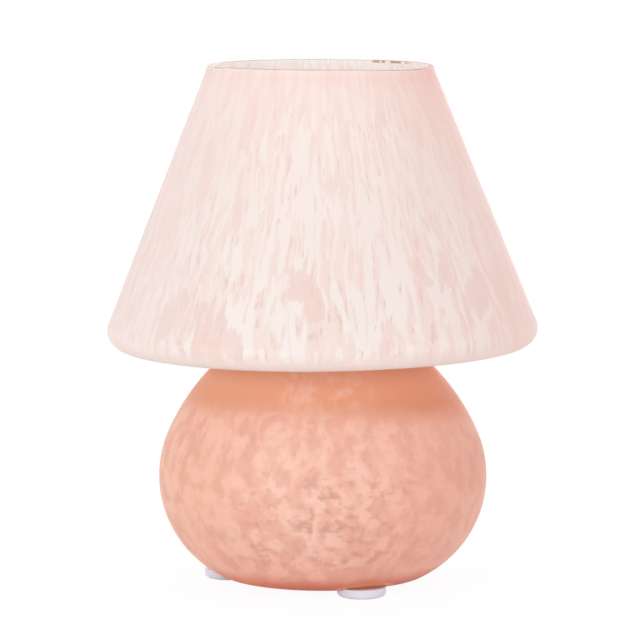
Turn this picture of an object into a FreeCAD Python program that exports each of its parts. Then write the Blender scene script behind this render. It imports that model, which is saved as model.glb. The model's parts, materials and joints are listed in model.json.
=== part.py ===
import FreeCAD, Part
import math
import os
import re
import Sketcher

# Small glass table lamp: a blown base on three stick-on feet, a blown conical shade clamped on its neck, and
# a lamp holder with a small globe bulb inside the shade. Millimetres; the lamp stands on z = 0 with its axis
# on the Z axis, and its front is towards -Y.

# Each size that can be chosen by itself. Angles are in degrees.
SIZES = {
    # blown glass base
    "base_radius": 68.6,
    "base_widest_height": 44.4,
    "base_heel_inset": 27.1,
    "base_shoulder_turn": 23.6,
    "base_crown_curve": 15,
    "base_crown_turn": 48,
    "base_neck_radius": 32.2,
    "base_underside": 3,
    "base_heel_curve": 5,
    "base_punt_radius": 26,
    "base_punt_rise": 2.5,
    "base_wall": 3,
    "base_bottom": 6,
    "base_mouth_radius": 16,
    "base_mouth_round": 1,
    # blown glass shade
    "shade_radius": 90,
    "shade_height": 117.2,
    "shade_rim_radius": 46.35,
    "shade_corner_curve": 7.3,
    "shade_wall": 2.8,
    "shade_rim_round": 0.7,
    "shade_floor_rise": 2.4,
    "shade_seat_radius": 30,
    "shade_hole_radius": 14.8,
    # stick-on feet
    "foot_radius": 10.1,
    "foot_thickness": 4,
    "foot_edge_round": 1.8,
    "foot_ring_inset": 1.6,
    "foot_turn": 23.5,
    "foot_count": 3,
    "foot_glass_gap": 0.1,
    # rubber grommet where the cord goes in
    "grommet_height": 24,
    "grommet_hole_radius": 5,
    "grommet_neck_gap": 0.1,
    "grommet_flange_radius": 6.6,
    "grommet_flange": 1.4,
    "grommet_bore_radius": 3.2,
    "grommet_lift": 0.1,
    # metal and silicone pieces stacked on the neck
    "thread_radius": 4.95,
    "thread_gap": 0.04,
    "plate_hole_gap": 0.15,
    "gasket_thickness": 1,
    "gasket_bore_gap": 1,
    "cap_radius": 28,
    "cap_thickness": 1.6,
    "cap_step_depth": 2,
    "cap_step_gap": 0.4,
    "cap_boss_gap": 0.4,
    "cap_boss_relief": 0.3,
    "gasket_margin": 1,
    "washer_thickness": 1,
    "washer_bore_gap": 0.5,
    "clamp_radius": 24.5,
    "clamp_thickness": 1.6,
    "nut_across_flats": 14,
    "clamp_nut_height": 3,
    "nipple_bore_radius": 3.9,
    "nipple_tail": 6,
    # clamp bar inside the base
    "bar_length": 50,
    "bar_width": 14,
    "bar_thickness": 2,
    "bar_corner": 3,
    "pad_length": 8,
    "pad_thickness": 1,
    "pad_inset": 1,
    "lock_washer_radius": 9,
    "lock_washer_thickness": 1,
    "bar_nut_height": 5,
    # lamp holder
    "holder_lift": 0.3,
    "holder_radius": 14.2,
    "holder_wall": 1.6,
    "holder_cap_height": 15,
    "holder_cap_foot_radius": 8.5,
    "holder_cap_flare": 5.5,
    "holder_cap_floor": 4.6,
    "holder_boss_radius": 7,
    "holder_boss_height": 7,
    "holder_spigot": 3,
    "holder_sleeve_wall": 3.1,
    "holder_height": 43.5,
    "holder_lip": 1.6,
    "holder_mouth_radius": 9,
    "holder_edge_round": 1.5,
    "holder_part_gap": 0.1,
    "grub_height": 2.4,
    "grub_radius": 1.5,
    "grub_length": 5.2,
    "grub_socket_radius": 0.8,
    "grub_socket_depth": 1.6,
    "grub_gap": 0.03,
    "block_height": 6.7,
    "block_bore_radius": 1.5,
    "block_lift": 0.3,
    "shell_wall": 0.4,
    "shell_gap": 0.35,
    "shell_top_gap": 0.4,
    "shell_turns": 7,
    "strip_thickness": 0.4,
    "strip_width": 4,
    "tongue_root": 6.2,
    "tongue_tab": 3,
    "tongue_ramp": 2.4,
    "tongue_tip": 2,
    "tongue_rise": 2.5,
    "side_strip_height": 5,
    "side_strip_tab": 2.5,
    "side_strip_gap": 0.05,
    "terminal_offset": 7.5,
    "terminal_width": 5,
    "terminal_depth": 4,
    "terminal_height": 3.5,
    "screw_radius": 1.4,
    "screw_gap": 0.05,
    "screw_length": 3,
    "screw_head_radius": 2.1,
    "screw_head_height": 1.1,
    # globe bulb with a small screw cap
    "bulb_seat_gap": 0.3,
    "bulb_length": 72,
    "bulb_radius": 22.5,
    "bulb_glass": 1.2,
    "bulb_neck_radius": 15.6,
    "bulb_tip_radius": 2.4,
    "bulb_tip_height": 1,
    "bulb_insulator_height": 2.2,
    "bulb_thread_radius": 6.945,
    "bulb_thread_depth": 0.5,
    "bulb_thread_pitch": 2.82,
    "bulb_thread_turns": 5,
    "bulb_cap_wall": 0.4,
    "bulb_cap_plain": 3,
    "bulb_spigot_gap": 0.1,
    "bulb_collar_foot": 8.2,
    "bulb_collar_straight": 1.8,
    "bulb_collar_rim": 2.3,
    "bulb_collar_wall": 1.6,
    "led_board_thickness": 1.3,
    "led_board_gap": 0.2,
    "led_board_hole_radius": 1.2,
    "driver_width": 8,
    "driver_thickness": 1.2,
    "driver_length": 22,
    # how far a cutting form runs past what it cuts
    "overrun": 2,
}

# Sizes that follow from the ones above, each as a formula in their names.
DERIVED = {
    "heel_depth": "base_widest_height - base_underside - base_heel_curve",
    "heel_centre": "base_radius - base_heel_inset",
    "belly_curve": "(base_heel_inset^2 + heel_depth^2 - base_heel_curve^2)"
                   " / (2 * (base_heel_inset - base_heel_curve))",
    "belly_centre": "base_radius - belly_curve",
    "heel_out_share": "(heel_centre - belly_centre) / (belly_curve - base_heel_curve)",
    "heel_down_share": "heel_depth / (belly_curve - base_heel_curve)",
    "shoulder_run": "base_radius - base_neck_radius - belly_curve * (1 - cos(base_shoulder_turn))"
                    " - base_crown_curve * cos(base_crown_turn)",
    "shoulder_curve": "shoulder_run / (cos(base_shoulder_turn) - cos(base_crown_turn))",
    "shoulder_step": "shoulder_curve - belly_curve",
    "shoulder_height": "base_widest_height - shoulder_step * sin(base_shoulder_turn)",
    "crown_step": "shoulder_curve - base_crown_curve",
    "crown_height": "shoulder_height + crown_step * sin(base_crown_turn)",
    "neck_top": "crown_height + base_crown_curve",
    "base_inside_curve": "belly_curve - base_wall",
    "base_floor_top": "base_underside + base_bottom",
    "base_floor_radius": "belly_centre + sqrt(base_inside_curve^2 - (base_widest_height - base_floor_top)^2)",
    "punt_curve": "(base_punt_radius^2 + base_punt_rise^2) / (2 * base_punt_rise)",
    "cap_level": "neck_top + gasket_thickness",
    "cap_top": "cap_level + cap_thickness",
    "shade_seat": "cap_top + washer_thickness",
    "shade_level": "shade_seat - shade_floor_rise",
    "clamp_level": "shade_seat + shade_wall + washer_thickness",
    "clamp_nut_level": "clamp_level + clamp_thickness",
    "holder_level": "clamp_nut_level + clamp_nut_height + holder_lift",
    "pad_level": "neck_top - base_wall - pad_thickness",
    "bar_level": "pad_level - bar_thickness",
    "lock_washer_level": "bar_level - lock_washer_thickness",
    "bar_nut_level": "lock_washer_level - bar_nut_height",
    "nipple_foot": "bar_nut_level - nipple_tail",
    "nipple_height": "holder_level + holder_boss_height - nipple_foot",
    "corner_centre": "shade_radius - shade_corner_curve",
    "cone_reach": "sqrt((shade_rim_radius - corner_centre)^2 + (shade_height - shade_corner_curve)^2)",
    "cone_turn": "atan2(shade_height - shade_corner_curve; shade_rim_radius - corner_centre)"
                 " - acos(shade_corner_curve / cone_reach)",
    "shade_inside_curve": "shade_corner_curve - shade_wall",
    "rim_inside_radius": "shade_rim_radius - shade_wall / cos(cone_turn)",
    "floor_run": "corner_centre - shade_seat_radius",
    "floor_curve": "(floor_run^2 + shade_floor_rise^2) / (2 * shade_floor_rise)",
    "foot_ring_radius": "heel_centre - foot_ring_inset",
    "grommet_tilt": "asin((base_widest_height - grommet_height) / belly_curve)",
    "grommet_reach": "belly_centre + belly_curve * cos(grommet_tilt)",
    "grommet_azimuth": "180 + foot_turn",
    "grommet_hole_dip": "belly_curve - sqrt(belly_curve^2 - grommet_hole_radius^2)",
    "grommet_flange_dip": "base_inside_curve - sqrt(base_inside_curve^2 - grommet_flange_radius^2)",
    "grommet_grip": "base_wall + grommet_flange_dip - grommet_hole_dip + 2 * grommet_lift",
    "plate_hole_radius": "thread_radius + plate_hole_gap",
    "nut_bore_radius": "thread_radius + thread_gap",
    "block_level": "holder_level + holder_cap_height - holder_spigot + block_lift",
    "block_top": "block_level + block_height",
    "block_radius": "holder_radius - holder_sleeve_wall - holder_part_gap",
    "sleeve_inside_height": "holder_height - holder_lip",
    "shell_height": "holder_level + sleeve_inside_height - shell_top_gap - block_top",
    "shell_pitch": "shell_height / shell_turns",
    "bulb_level": "block_top + tongue_rise + bulb_seat_gap",
    "bulb_ball_height": "bulb_length - bulb_radius",
    "bulb_neck_height": "bulb_ball_height - sqrt(bulb_radius^2 - bulb_neck_radius^2)",
    "bulb_inside_radius": "bulb_radius - bulb_glass",
    "bulb_neck_inside": "sqrt(bulb_inside_radius^2 - (bulb_ball_height - bulb_neck_height)^2)",
    "bulb_cap_level": "bulb_tip_height + bulb_insulator_height",
    "bulb_thread_middle": "bulb_thread_radius - bulb_thread_depth / 2",
    "bulb_thread_length": "bulb_thread_turns * bulb_thread_pitch",
    "bulb_cap_top": "bulb_cap_level + bulb_thread_length + bulb_cap_plain",
    "bulb_cap_inside": "bulb_thread_middle - bulb_cap_wall",
    "bulb_insulator_radius": "bulb_cap_inside - bulb_thread_depth",
    "shell_middle": "bulb_thread_radius + shell_gap + bulb_thread_depth / 2",
    "led_board_radius": "bulb_neck_inside - led_board_gap",
    "led_board_level": "bulb_neck_height - led_board_thickness",
    "driver_level": "led_board_level - driver_length",
}

doc = FreeCAD.newDocument("glass_table_lamp")
sheet = doc.addObject("Spreadsheet::Sheet", "Sizes")
ALIASES = list(SIZES) + list(DERIVED)
WORD = re.compile(r"\b(" + "|".join(ALIASES) + r")\b")
NODES = []


def fill_sheet():
    """Write every size and formula to the sheet, one to a row, with its name beside it."""
    for row, alias in enumerate(ALIASES, start=1):
        text = str(SIZES[alias]) if alias in SIZES else "=" + DERIVED[alias]
        sheet.set(f"A{row}", alias)
        sheet.set(f"B{row}", text)
        sheet.setAlias(f"B{row}", alias)
    doc.recompute()


def value(formula):
    """The number that a formula in the sheet's names gives now."""
    number = sheet.evalExpression(str(formula))
    return float(getattr(number, "Value", number))


def bound(formula):
    """The same formula, as another object of the document has to write it."""
    return WORD.sub(r"Sizes.\1", str(formula))


def bind(thing, prop, formula):
    thing.setExpression(prop, bound(formula))


def keep(thing, label):
    """Name a finished sub-part and list it for the files."""
    thing.Label = label
    NODES.append(thing)
    return thing


def plane(body, role):
    return next(f for f in body.Origin.OriginFeatures if f.Role == role)


def pin_point(sketch, index, end, point):
    """Fix one end of a line or arc at a point given by two formulas."""
    for axis, formula, zero_line in zip(("DistanceX", "DistanceY"), point, (-2, -1)):
        number = value(formula)
        if abs(number) < 1e-9:
            sketch.addConstraint(Sketcher.Constraint("PointOnObject", index, end, zero_line))
            continue
        ends = (-1, 1, index, end) if number > 0 else (index, end, -1, 1)
        order = sketch.addConstraint(Sketcher.Constraint(axis, *ends, abs(number)))
        bind(sketch, f"Constraints[{order}]", formula if number > 0 else f"-({formula})")


def draw_loop(sketch, points):
    """Draw a closed outline. Each point is (across, up) for a line to it, or (across, up, radius) for an arc
    to it that turns left where the radius is positive and right where it starts with a minus sign."""
    count = len(points)
    spots = [FreeCAD.Vector(value(p[0]), value(p[1]), 0) for p in points]
    for number, point in enumerate(points):
        start, finish = spots[number - 1], spots[number]
        previous = sketch.GeometryCount
        if len(point) == 2:
            index = sketch.addGeometry(Part.LineSegment(start, finish))
            head, tail = 1, 2
        else:
            left = not str(point[2]).startswith("-")
            formula = str(point[2]).lstrip("-")
            radius = value(formula)
            along = finish - start
            side = FreeCAD.Vector(-along.y, along.x, 0) if left else FreeCAD.Vector(along.y, -along.x, 0)
            rise = math.sqrt(max(radius ** 2 - (along.Length / 2) ** 2, 0))
            centre = (start + finish) / 2 + side.normalize() * rise
            turns = [math.atan2(s.y - centre.y, s.x - centre.x) for s in (start, finish)]
            if not left:
                turns.reverse()
            circle = Part.Circle(centre, FreeCAD.Vector(0, 0, 1), radius)
            index = sketch.addGeometry(Part.ArcOfCircle(circle, *turns))
            head, tail = (1, 2) if left else (2, 1)
            order = sketch.addConstraint(Sketcher.Constraint("Radius", index, radius))
            bind(sketch, f"Constraints[{order}]", formula)
        pin_point(sketch, index, tail, point[:2])
        if number:
            sketch.addConstraint(Sketcher.Constraint("Coincident", previous - 1, last_tail, index, head))
        else:
            first, first_head = index, head
        last_tail = tail
        if number == count - 1:
            sketch.addConstraint(Sketcher.Constraint("Coincident", index, tail, first, first_head))


def draw_circle(sketch, across, up, radius):
    centre = FreeCAD.Vector(value(across), value(up), 0)
    index = sketch.addGeometry(Part.Circle(centre, FreeCAD.Vector(0, 0, 1), value(radius)))
    order = sketch.addConstraint(Sketcher.Constraint("Radius", index, value(radius)))
    bind(sketch, f"Constraints[{order}]", radius)
    pin_point(sketch, index, 3, (across, up))


def outline(body, role, loops):
    """A sketch on one of the body's own planes, from outlines (lists) and circles (tuples)."""
    sketch = body.newObject("Sketcher::SketchObject", body.Name + "_outline")
    sketch.AttachmentSupport = [(plane(body, role), "")]
    sketch.MapMode = "FlatFace"
    for loop in loops:
        if isinstance(loop, tuple):
            draw_circle(sketch, *loop)
        else:
            draw_loop(sketch, loop)
    return sketch


def new_body(name, level):
    body = doc.addObject("PartDesign::Body", name)
    body.Label = name
    bind(body, "Placement.Base.z", level)
    return body


def turned(name, points, level="0"):
    """A piece turned about the Z axis from an outline of (radius, height) points."""
    body = new_body(name, level)
    turn = body.newObject("PartDesign::Revolution", name + "_turn")
    turn.Profile = outline(body, "XZ_Plane", [points])
    turn.ReferenceAxis = (turn.Profile[0], ["V_Axis"])
    turn.Angle = 360
    return body


def pressed(name, loops, thickness, level, role="XY_Plane", middle=False):
    """A piece of even thickness, cut to an outline."""
    body = new_body(name, level)
    body.AllowCompound = True
    pad = body.newObject("PartDesign::Pad", name + "_pad")
    pad.Profile = outline(body, role, loops)
    bind(pad, "Length", thickness)
    pad.SideType = "Symmetric" if middle else "One side"
    return body


def ring(name, inner, outer, thickness, level):
    """A flat washer."""
    return turned(name, [(inner, "0"), (outer, "0"), (outer, thickness), (inner, thickness)], level)


def rectangle(middle_across, middle_up, across, up):
    """The corners of a rectangle, given by its middle and its two sides."""
    left, right = (f"{middle_across} {sign} {across} / 2" for sign in "-+")
    low, high = (f"{middle_up} {sign} {up} / 2" for sign in "-+")
    return [(left, low), (right, low), (right, high), (left, high)]


def hexagon(flats):
    """The corners of a hexagon of a given width across its flats."""
    points = []
    for corner in range(6):
        turn = 60 * corner
        points.append((f"{flats} / sqrt(3) * cos({turn})", f"{flats} / sqrt(3) * sin({turn})"))
    points[0], points[3] = (f"{flats} / sqrt(3)", "0"), (f"-{flats} / sqrt(3)", "0")
    return points


def hex_nut(name, height, level):
    return pressed(name, [hexagon("nut_across_flats"), ("0", "0", "nut_bore_radius")], height, level)


def wave(middle, foot, pitch, depth, turns, upwards):
    """The rounded ridges of a lamp thread, as points up or down one side of its wall."""
    curve = f"(({pitch} / 4)^2 + ({depth} / 2)^2) / {depth}"
    points = []
    steps = range(1, 2 * turns + 1) if upwards else range(2 * turns - 1, -1, -1)
    for step in steps:
        crest = step % 2 == (1 if upwards else 0)
        left = crest if upwards else not crest
        points.append((middle, f"{foot} + {step} * {pitch} / 2", curve if left else "-" + curve))
    return points


def edge_circles(shape, height, slack=1e-3):
    """The names of the edges that lie level at one height."""
    names = []
    for number, edge in enumerate(shape.Edges, start=1):
        box = edge.BoundBox
        if abs(box.ZMin - height) < slack and abs(box.ZMax - height) < slack:
            names.append(f"Edge{number}")
    return names


def round_edges(body, base, names, radius):
    fillet = body.newObject("PartDesign::Fillet", body.Name + "_round")
    fillet.Base = (base, names)
    bind(fillet, "Radius", radius)
    return fillet


def drilled(label, blank, radius, length, base, axis, angle):
    """A blank with one round hole. The drill points along Z, then turns about an axis by an angle."""
    drill = doc.addObject("Part::Cylinder", label + "_drill")
    bind(drill, "Radius", radius)
    bind(drill, "Height", length)
    place(drill, base, axis, angle)
    cut = doc.addObject("Part::Cut", label)
    cut.Base = blank
    cut.Tool = drill
    return cut


def place(thing, base, axis, angle):
    """Turn a piece about an axis through its own origin, then move it to three formulas."""
    thing.Placement = FreeCAD.Placement(FreeCAD.Vector(), FreeCAD.Rotation(axis, value(angle)))
    bind(thing, "Placement.Rotation.Angle", angle)
    for letter, formula in zip("xyz", base):
        bind(thing, f"Placement.Base.{letter}", formula)


def grommet_axis():
    """The level line that the grommet's tilt turns about, square to the way that it faces."""
    turn = math.radians(value("grommet_azimuth"))
    return FreeCAD.Vector(math.cos(turn), math.sin(turn), 0)


def on_grommet_axis(offset):
    """The place on the grommet's axis that lies an offset outside the glass."""
    reach = f"(grommet_reach + ({offset}) * cos(grommet_tilt))"
    return (f"{reach} * sin(grommet_azimuth)", f"-{reach} * cos(grommet_azimuth)",
            f"grommet_height - ({offset}) * sin(grommet_tilt)")


def at_heel(curve):
    """Where the round of the heel meets the belly, for a belly of a given radius about the same centre."""
    return (f"belly_centre + ({curve}) * heel_out_share", f"base_widest_height - ({curve}) * heel_down_share")


def on_arc(centre, curve):
    """The point of an arc at a turn from level, for a centre given as (across, up, turn)."""
    across, up, turn = centre
    return (f"{across} + {curve} * cos({turn})", f"{up} + {curve} * sin({turn})")


def make_glass_base():
    shoulder = ("belly_centre", "base_widest_height", "base_shoulder_turn")
    crown = ("base_neck_radius", "crown_height", "base_crown_turn")
    lip_under = "neck_top - base_wall"
    points = [
        ("0", "base_underside + base_punt_rise"),
        ("base_punt_radius", "base_underside", "-punt_curve"),
        ("heel_centre", "base_underside"),
        at_heel("belly_curve") + ("base_heel_curve",),
        on_arc(shoulder, "belly_curve") + ("belly_curve",),
        on_arc(crown, "base_crown_curve") + ("shoulder_curve",),
        ("base_neck_radius", "neck_top", "base_crown_curve"),
        ("base_mouth_radius + base_mouth_round", "neck_top"),
        ("base_mouth_radius", "neck_top - base_mouth_round", "base_mouth_round"),
        ("base_mouth_radius", lip_under + " + base_mouth_round"),
        ("base_mouth_radius + base_mouth_round", lip_under, "base_mouth_round"),
        ("base_neck_radius", lip_under),
        on_arc(crown, "(base_crown_curve - base_wall)") + ("-(base_crown_curve - base_wall)",),
        on_arc(shoulder, "base_inside_curve") + ("-(shoulder_curve - base_wall)",),
        ("base_floor_radius", "base_floor_top", "-base_inside_curve"),
        ("0", "base_floor_top"),
    ]
    blank = turned("base_blank", points)
    inner_end = on_grommet_axis("-base_wall - overrun")
    cut = drilled("glass_base", blank, "grommet_hole_radius", "base_wall + 2 * overrun",
                  inner_end, grommet_axis(), "90 deg + grommet_tilt")
    keep(cut, "glass_base")


def make_glass_shade():
    corner = ("corner_centre", "shade_corner_curve", "cone_turn")
    points = [
        ("shade_hole_radius", "shade_floor_rise"),
        ("shade_seat_radius", "shade_floor_rise"),
        ("corner_centre", "0", "floor_curve"),
        on_arc(corner, "shade_corner_curve") + ("shade_corner_curve",),
        ("shade_rim_radius", "shade_height"),
        ("rim_inside_radius", "shade_height"),
        on_arc(corner, "shade_inside_curve"),
        ("corner_centre", "shade_wall", "-shade_inside_curve"),
        ("shade_seat_radius", "shade_floor_rise + shade_wall", "-floor_curve"),
        ("shade_hole_radius", "shade_floor_rise + shade_wall"),
    ]
    body = turned("glass_shade", points, "shade_level")
    doc.recompute()
    turn = body.Tip
    round_edges(body, turn, edge_circles(turn.Shape, value("shade_height")), "shade_rim_round")
    keep(body, "glass_shade")


def make_feet():
    names = ("foot_front", "foot_rear", "foot_left")
    form = turned("foot_seat_form", [
        ("0", "base_underside - foot_glass_gap"),
        ("heel_centre", "base_underside - foot_glass_gap"),
        at_heel("belly_curve + foot_glass_gap") + ("base_heel_curve + foot_glass_gap",),
        ("base_radius + foot_glass_gap", "base_widest_height", "belly_curve + foot_glass_gap"),
        ("0", "base_widest_height"),
    ])
    for number, name in enumerate(names):
        azimuth = f"foot_turn + {number} * 360 / foot_count"
        blank = new_body(name + "_blank", "0")
        pad = blank.newObject("PartDesign::Pad", name + "_pad")
        pad.Profile = outline(blank, "XY_Plane", [("0", "0", "foot_radius")])
        bind(pad, "Length", "foot_thickness")
        doc.recompute()
        round_edges(blank, pad, edge_circles(pad.Shape, 0), "foot_edge_round")
        bind(blank, "Placement.Base.x", f"foot_ring_radius * sin({azimuth})")
        bind(blank, "Placement.Base.y", f"-foot_ring_radius * cos({azimuth})")
        cut = doc.addObject("Part::Cut", name)
        cut.Base = blank
        cut.Tool = form
        keep(cut, name)


def make_grommet():
    neck = "grommet_hole_radius - grommet_neck_gap"
    edge = "grommet_flange_radius - grommet_flange / 2"
    body = turned("cord_grommet", [
        ("grommet_bore_radius", "0"),
        (edge, "0"),
        ("grommet_flange_radius", "grommet_flange / 2"),
        ("grommet_flange_radius", "grommet_flange"),
        (neck, "grommet_flange"),
        (neck, "grommet_flange + grommet_grip"),
        ("grommet_flange_radius", "grommet_flange + grommet_grip"),
        ("grommet_flange_radius", "grommet_flange * 3 / 2 + grommet_grip"),
        (edge, "grommet_flange * 2 + grommet_grip", "grommet_flange / 2"),
        ("grommet_bore_radius", "grommet_flange * 2 + grommet_grip"),
    ])
    foot = "grommet_lift - grommet_hole_dip - grommet_grip - grommet_flange"
    place(body, on_grommet_axis(foot), grommet_axis(), "90 deg + grommet_tilt")
    keep(body, "cord_grommet")


def make_neck_stack():
    outer = "cap_radius - gasket_margin"
    gasket_inner = "base_mouth_radius + gasket_bore_gap"
    washer_inner = "shade_hole_radius + washer_bore_gap"
    keep(ring("neck_gasket", gasket_inner, outer, "gasket_thickness", "neck_top"), "neck_gasket")
    step = "base_mouth_radius - cap_step_gap"
    boss = "shade_hole_radius - cap_boss_gap"
    plate_top = "cap_step_depth + gasket_thickness + cap_thickness"
    boss_top = plate_top + " + washer_thickness + shade_wall - cap_boss_relief"
    keep(turned("neck_cap", [
        ("plate_hole_radius", "0"),
        (step, "0"),
        (step, "cap_step_depth + gasket_thickness"),
        ("cap_radius", "cap_step_depth + gasket_thickness"),
        ("cap_radius", plate_top),
        (boss, plate_top),
        (boss, boss_top),
        ("plate_hole_radius", boss_top),
    ], "neck_top - cap_step_depth"), "neck_cap")
    keep(ring("shade_washer_lower", washer_inner, outer, "washer_thickness", "cap_top"), "shade_washer_lower")
    keep(ring("shade_washer_upper", washer_inner, "clamp_radius - gasket_margin", "washer_thickness",
              "shade_seat + shade_wall"), "shade_washer_upper")
    keep(ring("shade_clamp_disc", "plate_hole_radius", "clamp_radius", "clamp_thickness", "clamp_level"),
         "shade_clamp_disc")
    keep(hex_nut("shade_clamp_nut", "clamp_nut_height", "clamp_nut_level"), "shade_clamp_nut")
    keep(ring("threaded_nipple", "nipple_bore_radius", "thread_radius", "nipple_height", "nipple_foot"),
         "threaded_nipple")


def make_clamp_bar():
    half, side, corner = "bar_length / 2", "bar_width / 2", "bar_corner"
    bar = [
        (f"{half} - {corner}", f"-{side}"), (half, f"-{side} + {corner}", corner),
        (half, f"{side} - {corner}"), (f"{half} - {corner}", side, corner),
        (f"-{half} + {corner}", side), (f"-{half}", f"{side} - {corner}", corner),
        (f"-{half}", f"-{side} + {corner}"), (f"-{half} + {corner}", f"-{side}", corner),
    ]
    keep(pressed("spreader_bar", [bar, ("0", "0", "plate_hole_radius")], "bar_thickness", "bar_level"),
         "spreader_bar")
    middle = "(bar_length / 2 - pad_inset - pad_length / 2)"
    pads = [rectangle(sign + middle, "0", "pad_length", "(bar_width - 2 * pad_inset)") for sign in ("-", "")]
    keep(pressed("spreader_pads", pads, "pad_thickness", "pad_level"), "spreader_pads")
    keep(ring("spreader_washer", "plate_hole_radius", "lock_washer_radius", "lock_washer_thickness",
              "lock_washer_level"), "spreader_washer")
    keep(hex_nut("spreader_nut", "bar_nut_height", "bar_nut_level"), "spreader_nut")


def make_holder_housing():
    inside = "holder_radius - holder_wall"
    blank = turned("holder_cap_blank", [
        ("nut_bore_radius", "0"),
        ("holder_cap_foot_radius", "0"),
        ("holder_radius", "holder_cap_flare"),
        ("holder_radius", "holder_cap_height"),
        (inside, "holder_cap_height"),
        (inside, "holder_cap_floor + holder_wall"),
        (f"{inside} - holder_wall", "holder_cap_floor"),
        ("holder_boss_radius", "holder_cap_floor"),
        ("holder_boss_radius", "holder_boss_height"),
        ("nut_bore_radius", "holder_boss_height"),
    ], "holder_level")
    level = "holder_level + grub_height"
    sideways = FreeCAD.Vector(-1, 0, 0)
    keep(drilled("holder_cap", blank, "grub_radius", "holder_radius", ("0", "0", level), sideways, "90"),
         "holder_cap")
    start = "nut_bore_radius"
    body = turned("holder_grub_screw", [
        ("0", "0"),
        ("grub_radius - grub_gap", "0"),
        ("grub_radius - grub_gap", "grub_length"),
        ("grub_socket_radius", "grub_length"),
        ("grub_socket_radius", "grub_length - grub_socket_depth"),
        ("0", "grub_length - grub_socket_depth"),
    ])
    place(body, ("0", start, level), sideways, "90")
    keep(body, "holder_grub_screw")
    spigot = f"{inside} - holder_part_gap"
    bore = "holder_radius - holder_sleeve_wall"
    keep(turned("holder_sleeve", [
        (bore, "holder_cap_height - holder_spigot"),
        (spigot, "holder_cap_height - holder_spigot"),
        (spigot, "holder_cap_height"),
        ("holder_radius", "holder_cap_height"),
        ("holder_radius", "holder_height - holder_edge_round"),
        ("holder_radius - holder_edge_round", "holder_height", "holder_edge_round"),
        ("holder_mouth_radius", "holder_height"),
        ("holder_mouth_radius", "sleeve_inside_height"),
        (bore, "sleeve_inside_height"),
    ], "holder_level"), "holder_sleeve")


def make_holder_contacts():
    block = ring("contact_block", "block_bore_radius", "block_radius", "block_height", "block_level")
    keep(block, "contact_block")
    outside, inside = "shell_middle + shell_wall", "shell_middle"
    shape = ("0", "shell_pitch", "bulb_thread_depth", round(value("shell_turns")))
    keep(turned("screw_shell", [
        (outside, "0"),
        *wave(outside, *shape, True),
        (inside, "shell_height"),
        *wave(inside, *shape, False),
    ], "block_top"), "screw_shell")
    tab_end = "-tongue_root + tongue_tab"
    ramp_end = f"({tab_end} + tongue_ramp)"
    keep(pressed("centre_contact", [[
        ("-tongue_root", "0"), (tab_end, "0"),
        (ramp_end, "tongue_rise - strip_thickness"), ("tongue_tip", "tongue_rise - strip_thickness"),
        ("tongue_tip", "tongue_rise"), (f"{ramp_end} - strip_thickness / 2", "tongue_rise"),
        (f"{tab_end} - strip_thickness / 2", "strip_thickness"), ("-tongue_root", "strip_thickness"),
    ]], "strip_width", "block_top", "XZ_Plane", True), "centre_contact")
    wall = "(shell_middle + shell_wall + bulb_thread_depth / 2 + side_strip_gap)"
    keep(pressed("side_contact", [[
        (wall, "0"), (f"{wall} + side_strip_tab", "0"),
        (f"{wall} + side_strip_tab", "strip_thickness"), (f"{wall} + strip_thickness", "strip_thickness"),
        (f"{wall} + strip_thickness", "side_strip_height"), (wall, "side_strip_height"),
    ]], "strip_width", "block_top", "XZ_Plane", True), "side_contact")
    level = "block_level - terminal_height"
    loops, screws = [], []
    for number, sign in enumerate(("-", "")):
        loops.append(rectangle("0", sign + "terminal_offset", "terminal_width", "terminal_depth"))
        loops.append(("0", sign + "terminal_offset", "screw_radius + screw_gap"))
        screw = turned(f"terminal_screw_{number + 1}", [
            ("0", "0"),
            ("screw_head_radius", "0"),
            ("screw_head_radius", "screw_head_height"),
            ("screw_radius", "screw_head_height"),
            ("screw_radius", "screw_head_height + screw_length"),
            ("0", "screw_head_height + screw_length"),
        ], f"{level} - screw_head_height")
        bind(screw, "Placement.Base.y", sign + "terminal_offset")
        screws.append(screw)
    keep(pressed("terminal_clamps", loops, "terminal_height", level), "terminal_clamps")
    group = doc.addObject("Part::Compound", "terminal_screws")
    group.Links = screws
    keep(group, "terminal_screws")


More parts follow.
